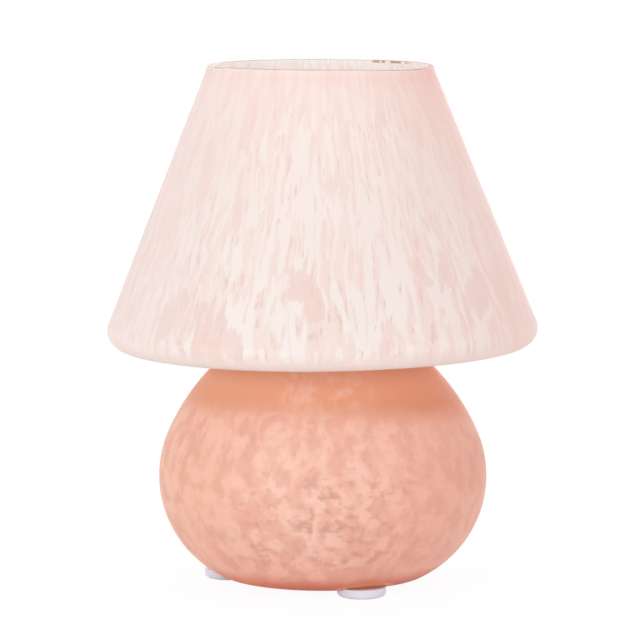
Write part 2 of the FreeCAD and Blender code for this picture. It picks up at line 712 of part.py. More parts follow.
def make_bulb():
    keep(turned("bulb_tip_contact", [
        ("0", "0"),
        ("bulb_tip_radius / 2", "0"),
        ("bulb_tip_radius", "bulb_tip_height"),
        ("0", "bulb_tip_height"),
    ], "bulb_level"), "bulb_tip_contact")
    keep(turned("bulb_insulator", [
        ("0", "bulb_tip_height"),
        ("bulb_tip_radius", "bulb_tip_height"),
        ("bulb_cap_inside", "bulb_cap_level"),
        ("bulb_insulator_radius", "bulb_cap_level"),
        ("bulb_insulator_radius", "bulb_cap_level + bulb_insulator_height"),
        ("0", "bulb_cap_level + bulb_insulator_height"),
    ], "bulb_level"), "bulb_insulator")
    shape = ("bulb_cap_level", "bulb_thread_pitch", "bulb_thread_depth", round(value("bulb_thread_turns")))
    keep(turned("bulb_screw_cap", [
        ("bulb_thread_middle", "bulb_cap_level"),
        *wave("bulb_thread_middle", *shape, True),
        ("bulb_thread_middle", "bulb_cap_top"),
        ("bulb_cap_inside", "bulb_cap_top"),
        ("bulb_cap_inside", "bulb_cap_level + bulb_thread_length"),
        *wave("bulb_cap_inside", *shape, False),
    ], "bulb_level"), "bulb_screw_cap")
    spigot = "bulb_cap_inside - bulb_spigot_gap"
    shelf = "led_board_radius + led_board_gap / 2"
    straight = "bulb_cap_top + bulb_collar_straight"
    keep(turned("bulb_collar", [
        (f"{spigot} - bulb_collar_wall / 2", "bulb_cap_top - bulb_cap_plain + bulb_cap_wall"),
        (spigot, "bulb_cap_top - bulb_cap_plain + bulb_cap_wall"),
        (spigot, "bulb_cap_top"),
        ("bulb_collar_foot", "bulb_cap_top"),
        ("bulb_collar_foot", straight),
        ("bulb_neck_radius", "bulb_neck_height - bulb_collar_rim"),
        ("bulb_neck_radius", "bulb_neck_height"),
        (shelf, "bulb_neck_height"),
        (shelf, "led_board_level"),
        (f"{shelf} - bulb_collar_wall / 2", "led_board_level"),
        (f"{shelf} - bulb_collar_wall / 2", "bulb_neck_height - bulb_collar_rim"),
        (f"{spigot} - bulb_collar_wall / 2", straight),
    ], "bulb_level"), "bulb_collar")
    keep(turned("bulb_globe", [
        ("0", "bulb_length - bulb_glass"),
        ("bulb_neck_inside", "bulb_neck_height", "-bulb_inside_radius"),
        ("bulb_neck_radius", "bulb_neck_height"),
        ("0", "bulb_length", "bulb_radius"),
    ], "bulb_level"), "bulb_globe")
    keep(ring("bulb_led_board", "led_board_hole_radius", "led_board_radius", "led_board_thickness",
              "bulb_level + led_board_level"), "bulb_led_board")
    board = doc.addObject("Part::Box", "bulb_driver_board")
    bind(board, "Length", "driver_width")
    bind(board, "Width", "driver_thickness")
    bind(board, "Height", "driver_length")
    place(board, ("-driver_width / 2", "-driver_thickness / 2", "bulb_level + driver_level"),
          FreeCAD.Vector(0, 0, 1), "0")
    keep(board, "bulb_driver_board")


def check_and_write():
    """Stop on anything that failed, then write one file for each sub-part."""
    doc.recompute()
    for thing in doc.Objects:
        if "Invalid" in thing.State or "Error" in thing.State:
            raise RuntimeError(f"{thing.Label} failed to compute")
    for thing in NODES:
        if thing.Shape.isNull() or not thing.Shape.isValid() or not thing.Shape.Solids:
            raise RuntimeError(f"{thing.Label} has no valid solid")
    os.makedirs("parts", exist_ok=True)
    for thing in NODES:
        thing.Shape.exportStep(f"parts/{thing.Label}.step")
        box = thing.Shape.BoundBox
        print(f"{thing.Label}: {len(thing.Shape.Solids)} solid(s), {thing.Shape.Volume:.1f} mm3,"
              f" z {box.ZMin:.2f} to {box.ZMax:.2f}")


fill_sheet()
make_glass_base()
make_glass_shade()
make_feet()
make_grommet()
make_neck_stack()
make_clamp_bar()
make_holder_housing()
make_holder_contacts()
make_bulb()
check_and_write()
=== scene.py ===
import json
import math

import bpy
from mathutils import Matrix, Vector


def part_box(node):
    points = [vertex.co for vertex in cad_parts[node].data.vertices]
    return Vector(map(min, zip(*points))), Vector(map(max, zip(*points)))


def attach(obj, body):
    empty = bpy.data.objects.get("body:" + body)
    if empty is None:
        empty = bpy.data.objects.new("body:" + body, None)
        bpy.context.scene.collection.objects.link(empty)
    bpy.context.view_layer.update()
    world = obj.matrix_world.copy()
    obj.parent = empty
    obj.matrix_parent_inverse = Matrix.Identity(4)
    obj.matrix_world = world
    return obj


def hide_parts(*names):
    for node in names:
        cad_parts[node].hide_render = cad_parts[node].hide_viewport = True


# A small table lamp of satin blown glass: a mottled peach base on milky bumper feet, and a pale pink shade
# with cream streaks, open at the top, with a lamp holder and a small opal globe bulb inside. Metres; the lamp
# stands on z = 0 and its front is towards -Y.

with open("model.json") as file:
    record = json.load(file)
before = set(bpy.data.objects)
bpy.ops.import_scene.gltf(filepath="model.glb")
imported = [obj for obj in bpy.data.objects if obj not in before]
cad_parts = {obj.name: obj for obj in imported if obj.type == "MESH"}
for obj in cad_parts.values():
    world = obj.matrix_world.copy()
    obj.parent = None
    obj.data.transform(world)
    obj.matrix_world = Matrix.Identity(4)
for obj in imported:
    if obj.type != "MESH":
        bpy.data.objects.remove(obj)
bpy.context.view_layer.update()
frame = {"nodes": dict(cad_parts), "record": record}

MM = 0.001
WELD = 0.01 * MM
CLEARANCE = 0.1 * MM


def srgb(red, green, blue):
    """A linear colour from the 0 to 255 values that it shows as."""
    channels = [value / 255 for value in (red, green, blue)]
    return tuple(v / 12.92 if v <= 0.04045 else ((v + 0.055) / 1.055) ** 2.4 for v in channels) + (1.0,)


# Sizes of the blown base that its corners don't give.
BASE_HEEL_INSET = 27.1 * MM
BASE_WIDEST_HEIGHT = 44.4 * MM
BASE_HEEL_CURVE = 5 * MM
BASE_SHOULDER_TURN = 23.6
BASE_CROWN_TURN = 48
BASE_CROWN_CURVE = 15 * MM
BASE_NECK_RADIUS = 32.2 * MM
BASE_PUNT_RADIUS = 26 * MM
BASE_PUNT_RISE = 2.5 * MM
BASE_WALL = 3 * MM
BASE_BOTTOM = 6 * MM
BASE_MOUTH_RADIUS = 16 * MM
BASE_MOUTH_ROUND = 1 * MM
BASE_CORD_HOLE = 5 * MM

# Sizes of the blown shade that its corners don't give.
SHADE_RIM_RADIUS = 46.35 * MM
SHADE_CORNER_CURVE = 7.3 * MM
SHADE_WALL = 2.8 * MM
SHADE_WALL_STEPS = 48
SHADE_RIM_ROUND = 1.1 * MM
SHADE_RIM_INNER_ROUND = 0.5 * MM
SHADE_LIP = 4 * MM
SHADE_LIP_FLARE = 0.6 * MM
SHADE_FLOOR_RISE = 2.4 * MM
SHADE_SEAT_RADIUS = 30 * MM
SHADE_HOLE_RADIUS = 14.8 * MM
SHADE_FOOT_SHIFT = -0.1 * MM
SHADE_TOP_SHIFT = -1.0 * MM
SHADE_FOOT_SHRINK = 0.35 * MM
SHADE_FOOT_LIFTS = {-1: -0.75 * MM, 0: 0, 1: 0.98 * MM}

# Where the blower's shears left the rim a little low: compass turn from the right, depth and reach. A dent
# starts from the points of the crest that are within a touch of its middle.
RIM_DENTS = [
    (-32, 0.9 * MM, 40 * MM),
    (188, 0.3 * MM, 20 * MM),
    (-152, 0.35 * MM, 5 * MM),
    (75, 0.15 * MM, 12 * MM),
]
RIM_TOUCH = 3 * MM
RIM_CREST = 0.5 * MM

# How far up a face of the shade has to look to be the rim's crest or the floor's top, and how far down one
# that looks inward may.
CREST_FACING = 0.85
FLOOR_FACING = 0.5
INSIDE_FACING = -0.7

BLOWN_SEGMENTS = 256

# Feet and grommet.
FOOT_RADIUS = 10.1 * MM
FOOT_THICKNESS = 4 * MM
FOOT_EDGE_ROUND = 1.8 * MM
FOOT_GLASS_GAP = 0.1 * MM
GROMMET_LENGTH = 6.237 * MM
GROMMET_BORE = 3.2 * MM
GROMMET_NECK = 4.9 * MM
GROMMET_FLANGE = 1.4 * MM
GROMMET_FLANGE_RADIUS = 6.6 * MM

# Metal and silicone pieces stacked on the neck. Each ring's node, slot, bore and rounded edge.
NIPPLE_HOLE = 5.1 * MM
NECK_RINGS = [
    ("neck_gasket", "washer_silicone", 17 * MM, 0.35 * MM),
    ("shade_washer_lower", "washer_silicone", 15.3 * MM, 0.35 * MM),
    ("shade_washer_upper", "washer_silicone", 15.3 * MM, 0.35 * MM),
    ("shade_clamp_disc", "turned_metal", NIPPLE_HOLE, 0.3 * MM),
]
NECK_CAP_SPIGOT = 15.6 * MM
NECK_CAP_PLATE = 1.6 * MM
NECK_CAP_BOSS = 14.4 * MM
NECK_CAP_BOSS_HEIGHT = 3.5 * MM
NUT_BORE = 4.99 * MM
NUT_CHAMFER = 0.5 * MM
NUT_CORNER_SLOPE = 0.6

# Lamp holder. Its grip flutes repeat every few degrees, between two turns of each repeat.
HOLDER_RADIUS = 14.2 * MM
HOLDER_WALL = 1.6 * MM
HOLDER_CAP_FOOT = 8.5 * MM
HOLDER_CAP_FLARE = 5.5 * MM
HOLDER_CAP_FLOOR = 4.6 * MM
HOLDER_SPIGOT = 3 * MM
HOLDER_SLEEVE_WALL = 3.1 * MM
HOLDER_LIP = 1.6 * MM
HOLDER_MOUTH = 9 * MM
FLUTE_REPEAT = 10
FLUTE_TURNS = (2.5, 7.5)
FLUTE_FOOT = 6 * MM
FLUTE_HEAD = 7 * MM
FLUTE_SLOPE = 0.15 * MM
FLUTE_DEPTH = 0.45 * MM
GRUB_HOLE = 1.5 * MM
SHELL_MIDDLE = 7.545 * MM
SHELL_WALL = 0.4 * MM
SHELL_TURNS = 7
SHELL_THREAD_FADE = 0.8 * MM

# Bulb.
BULB_RADIUS = 22.5 * MM
BULB_GLASS = 1.2 * MM
BULB_NECK = 15.6 * MM
BULB_NECK_STEP = 0.5 * MM
BULB_TIP = 2.4 * MM
BULB_THREAD_MIDDLE = 6.695 * MM
BULB_THREAD_DEPTH = 0.5 * MM
BULB_THREAD_PITCH = 2.82 * MM
BULB_THREAD_TURNS = 5
BULB_THREAD_FADE = 1 * MM
BULB_CAP_PLAIN = 0.6 * MM
BULB_CAP_INSIDE = 6.295 * MM
BULB_COLLAR_BORE = 5.1 * MM
BULB_COLLAR_FOOT = 8.2 * MM
BULB_COLLAR_STRAIGHT = 1.8 * MM
BULB_COLLAR_RIM = 2.3 * MM
BULB_BOARD_LEDGE = 0.8 * MM

# Where the front of the shade has its largest plain rosy and creamy patches: middle and half sizes. Streaks
# make their edges ragged.
ROSE_PATCHES = [
    ((-0.009, -0.079, 0.133), (0.005, 0.04, 0.008)),
    ((-0.042, -0.074, 0.110), (0.011, 0.04, 0.013)),
    ((0.062, -0.053, 0.127), (0.006, 0.04, 0.010)),
]
CREAM_PATCHES = [
    ((-0.010, -0.070, 0.152), (0.012, 0.04, 0.012)),
    ((-0.018, -0.064, 0.169), (0.013, 0.04, 0.021)),
    ((0.013, -0.066, 0.174), (0.018, 0.04, 0.026)),
    ((0.022, -0.074, 0.131), (0.011, 0.04, 0.021)),
    ((0.043, -0.063, 0.125), (0.008, 0.04, 0.009)),
    ((-0.043, -0.068, 0.134), (0.010, 0.04, 0.012)),
    ((-0.022, -0.080, 0.106), (0.007, 0.04, 0.011)),
]
PATCH_RAG = 2.0
PATCH_EDGE = (2.1, 1.8)

# The shade's glass: sizes of what runs through it, its colours, and tints that multiply them.
SHADE_MIDDLE_RADIUS = 78 * MM
SHADE_SWAY_SIZE = 30 * MM
SHADE_SWAY = (5 * MM, 5 * MM, 4 * MM)
SHADE_BROAD_SIZE = 9 * MM
SHADE_TONE_SIZE = 4.5 * MM
SHADE_STREAK_SIZE = 2.7 * MM
SHADE_SLIVER_SIZE = 1.5 * MM
SHADE_PATCH_SIZE = 11 * MM
SHADE_GROUND = srgb(248, 226, 220)
SHADE_DEEP_GROUND = srgb(246, 222, 216)
SHADE_CREAM = srgb(252, 235, 230)
SHADE_ROSE = srgb(241, 214, 207)
SHADE_SLIVER = srgb(238, 209, 201)
SHADE_BAND = srgb(255, 227, 220)
# The right tint is partly the glass's own tone and partly painted shade. The edge tints are painted shade.
SHADE_RIGHT_TONE_AND_SHADE = (1.0, 0.93, 0.93)
SHADE_RIGHT_EDGE_SHADE = (0.99, 0.915, 0.905)
SHADE_LEFT_EDGE_SHADE = (1.0, 0.955, 0.955)
SHADE_TOP_TINT = (0.99, 0.955, 0.955)
SHADE_CORNER_TINT = (1.0, 0.88, 0.87)
INSIDE_STREAK_SIZE = 3 * MM
INSIDE_DASH_SIZE = 3.6 * MM
INSIDE_ROSE = srgb(250, 202, 192)
INSIDE_PALE = srgb(254, 222, 214)
# Brown of the painted reflections under the far rim.
INSIDE_REFLECTION_DASH = srgb(208, 158, 130)
RIM_CLOUD_SIZE = 9 * MM
# The rim's brown is partly the cut glass and partly the wall's depth seen through the crest, painted in. Its
# deep colour and its right colour are painted shade.
RIM_BROWN = srgb(192, 140, 126)
RIM_PALE = srgb(216, 176, 164)
RIM_DEEP_SHADE = srgb(158, 90, 74)
RIM_FAR = srgb(176, 154, 146)
RIM_LEFT = srgb(226, 190, 180)
RIM_RIGHT_SHADE = srgb(206, 158, 146)

# The base's glass, in the same way.
BASE_SWAY_SIZE = 14 * MM
BASE_SWAY = (4 * MM, 4 * MM, 4 * MM)
BASE_CLOUD_SIZE = 8 * MM
BASE_VEIL_SIZE = 6 * MM
BASE_MOTTLE_SIZE = 4.2 * MM
BASE_CLUSTER_SIZE = 20 * MM
BASE_LIGHT = srgb(249, 206, 188)
BASE_GROUND = srgb(238, 187, 168)
BASE_MOTTLE = srgb(219, 165, 148)
# These tints are partly painted shade: the low one also stands for thicker glass, the side ones for amber and
# rosy tones.
BASE_LOW_DEPTH_AND_SHADE = (1.015, 0.905, 0.885)
BASE_RIGHT_TONE_AND_SHADE = (0.935, 0.77, 0.735)
BASE_LEFT_TONE_AND_SHADE = (0.95, 0.83, 0.765)
BASE_TURN_SHADE = (0.93, 0.88, 0.86)
# Heel colours: its deep orange is partly painted shade; its left colour and the colour by the front foot are
# painted light.
HEEL_DEPTH_AND_SHADE = srgb(220, 106, 66)
HEEL_LIT_LEFT = srgb(232, 126, 76)
FOOT_PAINTED_LIGHT = srgb(254, 170, 132)
FOOT_PAINTED_LIGHT_REACH = (14 * MM, 14 * MM, 7 * MM)

# The base's neck is orange from about these levels up, partly its thicker glass and partly a painted shadow
# under the shade. Its edge hangs lower at both sides, by NECK_ARCH times the square of the distance, and to
# the right, by NECK_SLANT times the distance, like that shadow's line. Noise makes it ragged.
NECK_SHADOW_EDGE = (78 * MM, 88 * MM)
NECK_ARCH = 1.3
NECK_SLANT = 0.04
NECK_RAG = 8 * MM
NECK_STREAK_SIZE = 3.4 * MM
# The lighter top colour is painted light; the right tint is painted shade.
NECK_ORANGE_AND_SHADOW = srgb(229, 166, 131)
NECK_LIT_ORANGE = srgb(242, 184, 151)
NECK_PALE = srgb(246, 202, 182)
NECK_RIGHT_SHADE = (0.96, 0.76, 0.74)

SATIN_SIZE = 0.5 * MM
SATIN_DEPTH = 0.05 * MM

# The other finishes by slot: two close colours, the grain's size, two roughnesses, and other values by name.
METAL = {"metallic": 1.0}
LATHE_TURNED = {"metallic": 1.0, "stretch": (6, 6, 90)}
SHALLOW = {"depth": 0.01 * MM}
FINISHES = {
    "foot_silicone": (srgb(233, 237, 252), srgb(227, 231, 248), 0.4 * MM, (0.3, 0.42), {
        "subsurface_weight": 0.3, "subsurface_scale": 1 * MM, "subsurface_radius": (1.0, 0.95, 1.0)}),
    "grommet_rubber": ((0.85, 0.83, 0.80, 1), (0.80, 0.78, 0.75, 1), 0.3 * MM, (0.5, 0.62), {}),
    "washer_silicone": ((0.90, 0.89, 0.86, 1), (0.85, 0.84, 0.81, 1), 0.3 * MM, (0.4, 0.5), {}),
    "turned_metal": ((0.62, 0.61, 0.59, 1), (0.56, 0.55, 0.53, 1), 1.2 * MM, (0.24, 0.36), LATHE_TURNED),
    "zinc_steel": ((0.60, 0.60, 0.58, 1), (0.52, 0.53, 0.54, 1), 0.8 * MM, (0.3, 0.45), METAL),
    "holder_plastic": ((0.88, 0.87, 0.84, 1), (0.85, 0.84, 0.81, 1), 0.5 * MM, (0.3, 0.4), SHALLOW),
    "contact_plastic": ((0.85, 0.83, 0.78, 1), (0.80, 0.78, 0.72, 1), 0.3 * MM, (0.55, 0.7), {}),
    "contact_metal": ((0.66, 0.64, 0.60, 1), (0.60, 0.58, 0.54, 1), 0.6 * MM, (0.22, 0.34), METAL),
    "spring_brass": ((0.78, 0.60, 0.30, 1), (0.70, 0.52, 0.26, 1), 0.5 * MM, (0.25, 0.4), METAL),
    "bulb_metal": ((0.68, 0.67, 0.65, 1), (0.62, 0.61, 0.59, 1), 0.6 * MM, (0.2, 0.32), METAL),
    "bulb_insulation": ((0.05, 0.05, 0.06, 1), (0.04, 0.035, 0.05, 1), 0.4 * MM, (0.12, 0.2), {
        "depth": 0.005 * MM}),
    "bulb_plastic": ((0.92, 0.92, 0.91, 1), (0.89, 0.89, 0.88, 1), 0.5 * MM, (0.35, 0.45), SHALLOW),
    "bulb_opal": ((0.95, 0.94, 0.92, 1), (0.93, 0.92, 0.90, 1), 0.6 * MM, (0.3, 0.38), {
        "depth": 0.005 * MM, "subsurface_weight": 0.5, "subsurface_scale": 3 * MM,
        "subsurface_radius": (1.0, 1.0, 1.0)}),
    "board_white": ((0.93, 0.93, 0.92, 1), (0.89, 0.89, 0.88, 1), 0.3 * MM, (0.4, 0.5), {}),
    "board_green": ((0.10, 0.35, 0.18, 1), (0.08, 0.30, 0.15, 1), 0.3 * MM, (0.3, 0.4), {}),
}

# Light: an even white room, and large soft lamps at the front left, a weaker one at the front right, and one
# behind. Each lamp's name, place, size and power.
ROOM_LIGHT = 0.775
ROOM_COLOUR = (1, 0.985, 0.975, 1)
FLOOR_WHITE = 0.93
FLOOR_GLOW = 1.02
LIGHTS = [
    ("soft_key", (-1.7, -1.6, 0.36), 1.0, 15.5),
    ("soft_fill", (1.7, -1.6, 0.36), 1.0, 11),
    ("soft_back", (0.2, 2.3, 0.6), 1.4, 12),
]
AIM = Vector((0, 0, 0.11))

# The camera that the photograph's outlines fit.
CAMERA_PLACE = (-0.00118, -1.46839, 0.28684)
CAMERA_DIP = 6.88
CAMERA_LENS = 199.24


def deselect():
    bpy.ops.object.select_all(action="DESELECT")


def activate(piece):
    """Select one piece and no other, and make it the active one."""
    deselect()
    piece.select_set(True)
    bpy.context.view_layer.objects.active = piece


def remove(thing):
    activate(thing)
    bpy.ops.object.delete()


def apply_modifier(piece, kind, **settings):
    """Add one modifier to a piece and apply it."""
    activate(piece)
    modifier = piece.modifiers.new(kind.lower(), kind)
    for name, setting in settings.items():
        setattr(modifier, name, setting)
    bpy.ops.object.modifier_apply(modifier=modifier.name)


def cut(piece, tool, operation="DIFFERENCE"):
    """Cut a piece with a tool, and take the tool away."""
    apply_modifier(piece, "BOOLEAN", operation=operation, object=tool, solver="EXACT")
    remove(tool)


def cylinder(sides, radius, depth, place, turn=(0, 0, 0)):
    deselect()
    bpy.ops.mesh.primitive_cylinder_add(vertices=sides, radius=radius, depth=depth, location=place,
                                        rotation=turn)
    return bpy.context.object


def pick(piece, kind, wanted):
    """Open a piece for editing with only its wanted vertices, edges or faces selected."""
    activate(piece)
    bpy.ops.object.mode_set(mode="EDIT")
    bpy.ops.mesh.select_mode(type=kind)
    bpy.ops.mesh.select_all(action="DESELECT")
    bpy.ops.object.mode_set(mode="OBJECT")
    mesh = piece.data
    for element in {"VERT": mesh.vertices, "EDGE": mesh.edges, "FACE": mesh.polygons}[kind]:
        element.select = wanted(element)
    bpy.ops.object.mode_set(mode="EDIT")


def facing(direction, front="Z"):
    """The turn that brings one of a thing's own axes, its front, to a direction."""
    return Vector(direction).to_track_quat(front, "Y").to_euler()


def frame_mount(name):
    return next(mount for mount in frame["record"]["mounts"] if mount["name"] == name)


def dress(piece, material, body, node, degrees=35):
    """Smooth a finished piece, give it its material, put it in its body and hide the CAD node it replaces."""
    activate(piece)
    bpy.ops.object.shade_smooth_by_angle(angle=math.radians(degrees))
    piece.data.materials.clear()
    piece.data.materials.append(material)
    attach(piece, body)
    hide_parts(node)


def mix_points(first, second, share):
    return tuple(a + (b - a) * share for a, b in zip(first, second))


def arc(centre, radius, start, finish, steps):
    """Points of an arc about a (radius, height) centre, between two turns in degrees, without the first."""
    points = []
    for step in range(1, steps + 1):
        turn = math.radians(start + (finish - start) * step / steps)
        points.append((centre[0] + radius * math.cos(turn), centre[1] + radius * math.sin(turn)))
    return points


def upright(radius, low, high, steps):
    """Points up or down a straight wall, ends included."""
    return [(radius, low + (high - low) * step / steps) for step in range(steps + 1)]


def rounded(corners, steps=5):
    """An outline from (radius, height) corners, where a third number rounds a corner off."""
    points = []
    for number, corner in enumerate(corners):
        place = Vector(corner[:2])
        if len(corner) == 2:
            points.append(tuple(place))
            continue
        before = (Vector(corners[number - 1][:2]) - place).normalized()
        after = (Vector(corners[(number + 1) % len(corners)][:2]) - place).normalized()
        half = before.angle(after) / 2
        centre = place + (before + after).normalized() * corner[2] / math.sin(half)
        start = (place + before * corner[2] / math.tan(half) - centre).normalized()
        finish = (place + after * corner[2] / math.tan(half) - centre).normalized()
        shares = [step / steps for step in range(steps + 1)]
        points += [tuple(centre + start.slerp(finish, share) * corner[2]) for share in shares]
    return points


def turned(name, outline, segments=96, closed=True):
    """A piece turned on the lamp's axis: a point is drawn along a (radius, height) outline, then spun."""
    deselect()
    bpy.ops.mesh.primitive_plane_add(size=MM)
    piece = bpy.context.object
    piece.name = piece.data.name = name
    bpy.ops.object.mode_set(mode="EDIT")
    bpy.ops.mesh.select_mode(type="VERT")
    bpy.ops.mesh.merge(type="CENTER")
    bpy.ops.transform.translate(value=(outline[0][0], 0, outline[0][1]))
    stops = outline[1:] + (outline[:1] if closed else [])
    here = outline[0]
    for there in stops:
        move = (there[0] - here[0], 0, there[1] - here[1])
        bpy.ops.mesh.extrude_vertices_move(TRANSFORM_OT_translate={"value": move})
        here = there
    bpy.ops.mesh.select_all(action="SELECT")
    bpy.ops.mesh.spin(steps=segments, angle=math.tau, center=(0, 0, 0), axis=(0, 0, 1))
    bpy.ops.mesh.select_all(action="SELECT")
    bpy.ops.mesh.remove_doubles(threshold=WELD)
    bpy.ops.mesh.normals_make_consistent(inside=False)
    bpy.ops.object.mode_set(mode="OBJECT")
    return piece


def thread(piece, low, high, pitch, depth, fade_length):
    """Press a round-ridged lamp thread into a turned wall, dying out at both ends."""
    for vertex in piece.data.vertices:
        place = vertex.co
        near_end = min(place.z - low, high - place.z)
        if near_end <= 0:
            continue
        turn = math.atan2(place.y, place.x)
        ridge = depth / 2 * math.sin(math.tau * (place.z - low) / pitch - turn)
        ridge *= min(1, near_end / fade_length)
        radius = math.hypot(place.x, place.y)
        scale = (radius + ridge) / radius
        place.x *= scale
        place.y *= scale


def belly_curve(heel_depth):
    """The radius of the belly's arc, which runs smoothly into the heel and is upright at the widest level."""
    return ((BASE_HEEL_INSET ** 2 + heel_depth ** 2 - BASE_HEEL_CURVE ** 2)
            / (2 * (BASE_HEEL_INSET - BASE_HEEL_CURVE)))


def base_outline():
    """The base from the middle of its punt, up its outside, over the lip and down its inside."""
    low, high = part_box("glass_base")
    radius, under, neck = high.x, low.z, high.z
    heel_depth = BASE_WIDEST_HEIGHT - under - BASE_HEEL_CURVE
    belly = belly_curve(heel_depth)
    belly_centre = (radius - belly, BASE_WIDEST_HEIGHT)
    heel_centre = (radius - BASE_HEEL_INSET, under + BASE_HEEL_CURVE)
    heel_turn = -math.degrees(math.atan2(heel_depth, heel_centre[0] - belly_centre[0]))
    crown_centre = (BASE_NECK_RADIUS, neck - BASE_CROWN_CURVE)
    turns = [math.radians(BASE_SHOULDER_TURN), math.radians(BASE_CROWN_TURN)]
    run = radius - BASE_NECK_RADIUS - belly * (1 - math.cos(turns[0])) - BASE_CROWN_CURVE * math.cos(turns[1])
    shoulder = run / (math.cos(turns[0]) - math.cos(turns[1]))
    across, down = (shoulder - belly) * math.cos(turns[0]), (shoulder - belly) * math.sin(turns[0])
    shoulder_centre = (belly_centre[0] - across, belly_centre[1] - down)
    punt = (BASE_PUNT_RADIUS ** 2 + BASE_PUNT_RISE ** 2) / (2 * BASE_PUNT_RISE)
    punt_turn = 90 - math.degrees(math.asin(BASE_PUNT_RADIUS / punt))
    lip_under = neck - BASE_WALL
    lip = BASE_MOUTH_RADIUS + BASE_MOUTH_ROUND
    inside = belly - BASE_WALL
    floor_top = under + BASE_BOTTOM
    floor_turn = -math.degrees(math.asin((BASE_WIDEST_HEIGHT - floor_top) / inside))
    return [
        (0, under + BASE_PUNT_RISE),
        *arc((0, under + BASE_PUNT_RISE - punt), punt, 90, punt_turn, 12),
        (heel_centre[0], under),
        *arc(heel_centre, BASE_HEEL_CURVE, -90, heel_turn, 8),
        *arc(belly_centre, belly, heel_turn, BASE_SHOULDER_TURN, 40),
        *arc(shoulder_centre, shoulder, BASE_SHOULDER_TURN, BASE_CROWN_TURN, 20),
        *arc(crown_centre, BASE_CROWN_CURVE, BASE_CROWN_TURN, 90, 10),
        (lip, neck),
        *arc((lip, neck - BASE_MOUTH_ROUND), BASE_MOUTH_ROUND, 90, 180, 5),
        (BASE_MOUTH_RADIUS, lip_under + BASE_MOUTH_ROUND),
        *arc((lip, lip_under + BASE_MOUTH_ROUND), BASE_MOUTH_ROUND, 180, 270, 5),
        (BASE_NECK_RADIUS, lip_under),
        *arc(crown_centre, BASE_CROWN_CURVE - BASE_WALL, 90, BASE_CROWN_TURN, 8),
        *arc(shoulder_centre, shoulder - BASE_WALL, BASE_CROWN_TURN, BASE_SHOULDER_TURN, 14),
        *arc(belly_centre, inside, BASE_SHOULDER_TURN, floor_turn, 24),
        (0, floor_top),
    ]


def make_base(glass):
    """The blown base, with the drilled hole for the cord at its back."""
    base = turned("blown_base", base_outline(), BLOWN_SEGMENTS, closed=False)
    low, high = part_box("cord_grommet")
    drill = cylinder(48, BASE_CORD_HOLE, 8 * BASE_CORD_HOLE, (low + high) / 2)
    drill.rotation_euler = facing(frame_mount("cord_inlet")["axis"])
    cut(base, drill)
    dress(base, glass, "lamp", "glass_base")


def shade_outline():
    """The shade as a closed wall: under its floor, round the corner, up the cone, over the rim and back."""
    low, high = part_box("glass_shade")
    radius, level, top = high.x, low.z, high.z
    corner = (radius - SHADE_CORNER_CURVE, level + SHADE_CORNER_CURVE)
    across, rise = SHADE_RIM_RADIUS - corner[0], top - corner[1]
    lean = math.atan2(rise, across) - math.acos(SHADE_CORNER_CURVE / math.hypot(across, rise))
    cone_turn = math.degrees(lean)
    inner_rim = SHADE_RIM_RADIUS - SHADE_WALL / math.cos(lean)
    inner_curve = SHADE_CORNER_CURVE - SHADE_WALL
    run = corner[0] - SHADE_SEAT_RADIUS
    bowl = (run ** 2 + SHADE_FLOOR_RISE ** 2) / (2 * SHADE_FLOOR_RISE)
    bowl_turn = math.degrees(math.asin(run / bowl))
    seat = level + SHADE_FLOOR_RISE
    seat_top = seat + SHADE_WALL
    outer_foot, inner_foot = [
        (corner[0] + curve * math.cos(lean), corner[1] + curve * math.sin(lean))
        for curve in (SHADE_CORNER_CURVE, inner_curve)
    ]
    shares = [step / SHADE_WALL_STEPS for step in range(1, SHADE_WALL_STEPS)]
    outside = [flared(mix_points(outer_foot, (SHADE_RIM_RADIUS, top), share), top) for share in shares]
    inside = [flared(mix_points((inner_rim, top), inner_foot, share), top) for share in shares]
    edge = (SHADE_RIM_RADIUS + SHADE_LIP_FLARE, top, SHADE_RIM_ROUND)
    inner_edge = (inner_rim + SHADE_LIP_FLARE, top, SHADE_RIM_INNER_ROUND)
    return [
        (SHADE_HOLE_RADIUS, seat),
        (SHADE_SEAT_RADIUS, seat),
        *arc((corner[0], level + bowl), bowl, -90 - bowl_turn, -90, 16),
        *arc(corner, SHADE_CORNER_CURVE, -90, cone_turn, 20),
        *outside,
        *rounded([outside[-1], edge, inner_edge, inside[0]])[1:-1],
        *inside,
        *arc(corner, inner_curve, cone_turn, -90, 14),
        *arc((corner[0], level + bowl + SHADE_WALL), bowl, -90, -90 - bowl_turn, 16),
        (SHADE_HOLE_RADIUS, seat_top),
    ]


def flared(point, top):
    """The last few millimetres under the rim open out a little."""
    share = max(0, 1 - (top - point[1]) / SHADE_LIP)
    return (point[0] + SHADE_LIP_FLARE * share ** 2, point[1])


def lean_shade(shade):
    """The blown shade leans a little to the left, and its foot hangs lower there."""
    low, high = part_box("glass_shade")
    deselect()
    bpy.ops.object.add(type="LATTICE", location=(low + high) / 2)
    cage = bpy.context.object
    cage.scale = high - low
    cage.data.points_u = 3
    cage.data.interpolation_type_u = "KEY_CARDINAL"
    cage.data.interpolation_type_v = cage.data.interpolation_type_w = "KEY_LINEAR"
    for point in cage.data.points:
        side, front, foot = round(point.co.x * 2), point.co.y * 2, point.co.z < 0
        if not foot:
            point.co_deform.x += SHADE_TOP_SHIFT / cage.scale.x
            continue
        point.co_deform.x += (SHADE_FOOT_SHIFT - SHADE_FOOT_SHRINK * side) / cage.scale.x
        point.co_deform.y -= SHADE_FOOT_SHRINK * front / cage.scale.y
        point.co_deform.z += SHADE_FOOT_LIFTS[side] / cage.scale.z
    bpy.context.view_layer.update()
    apply_modifier(shade, "LATTICE", object=cage)
    remove(cage)


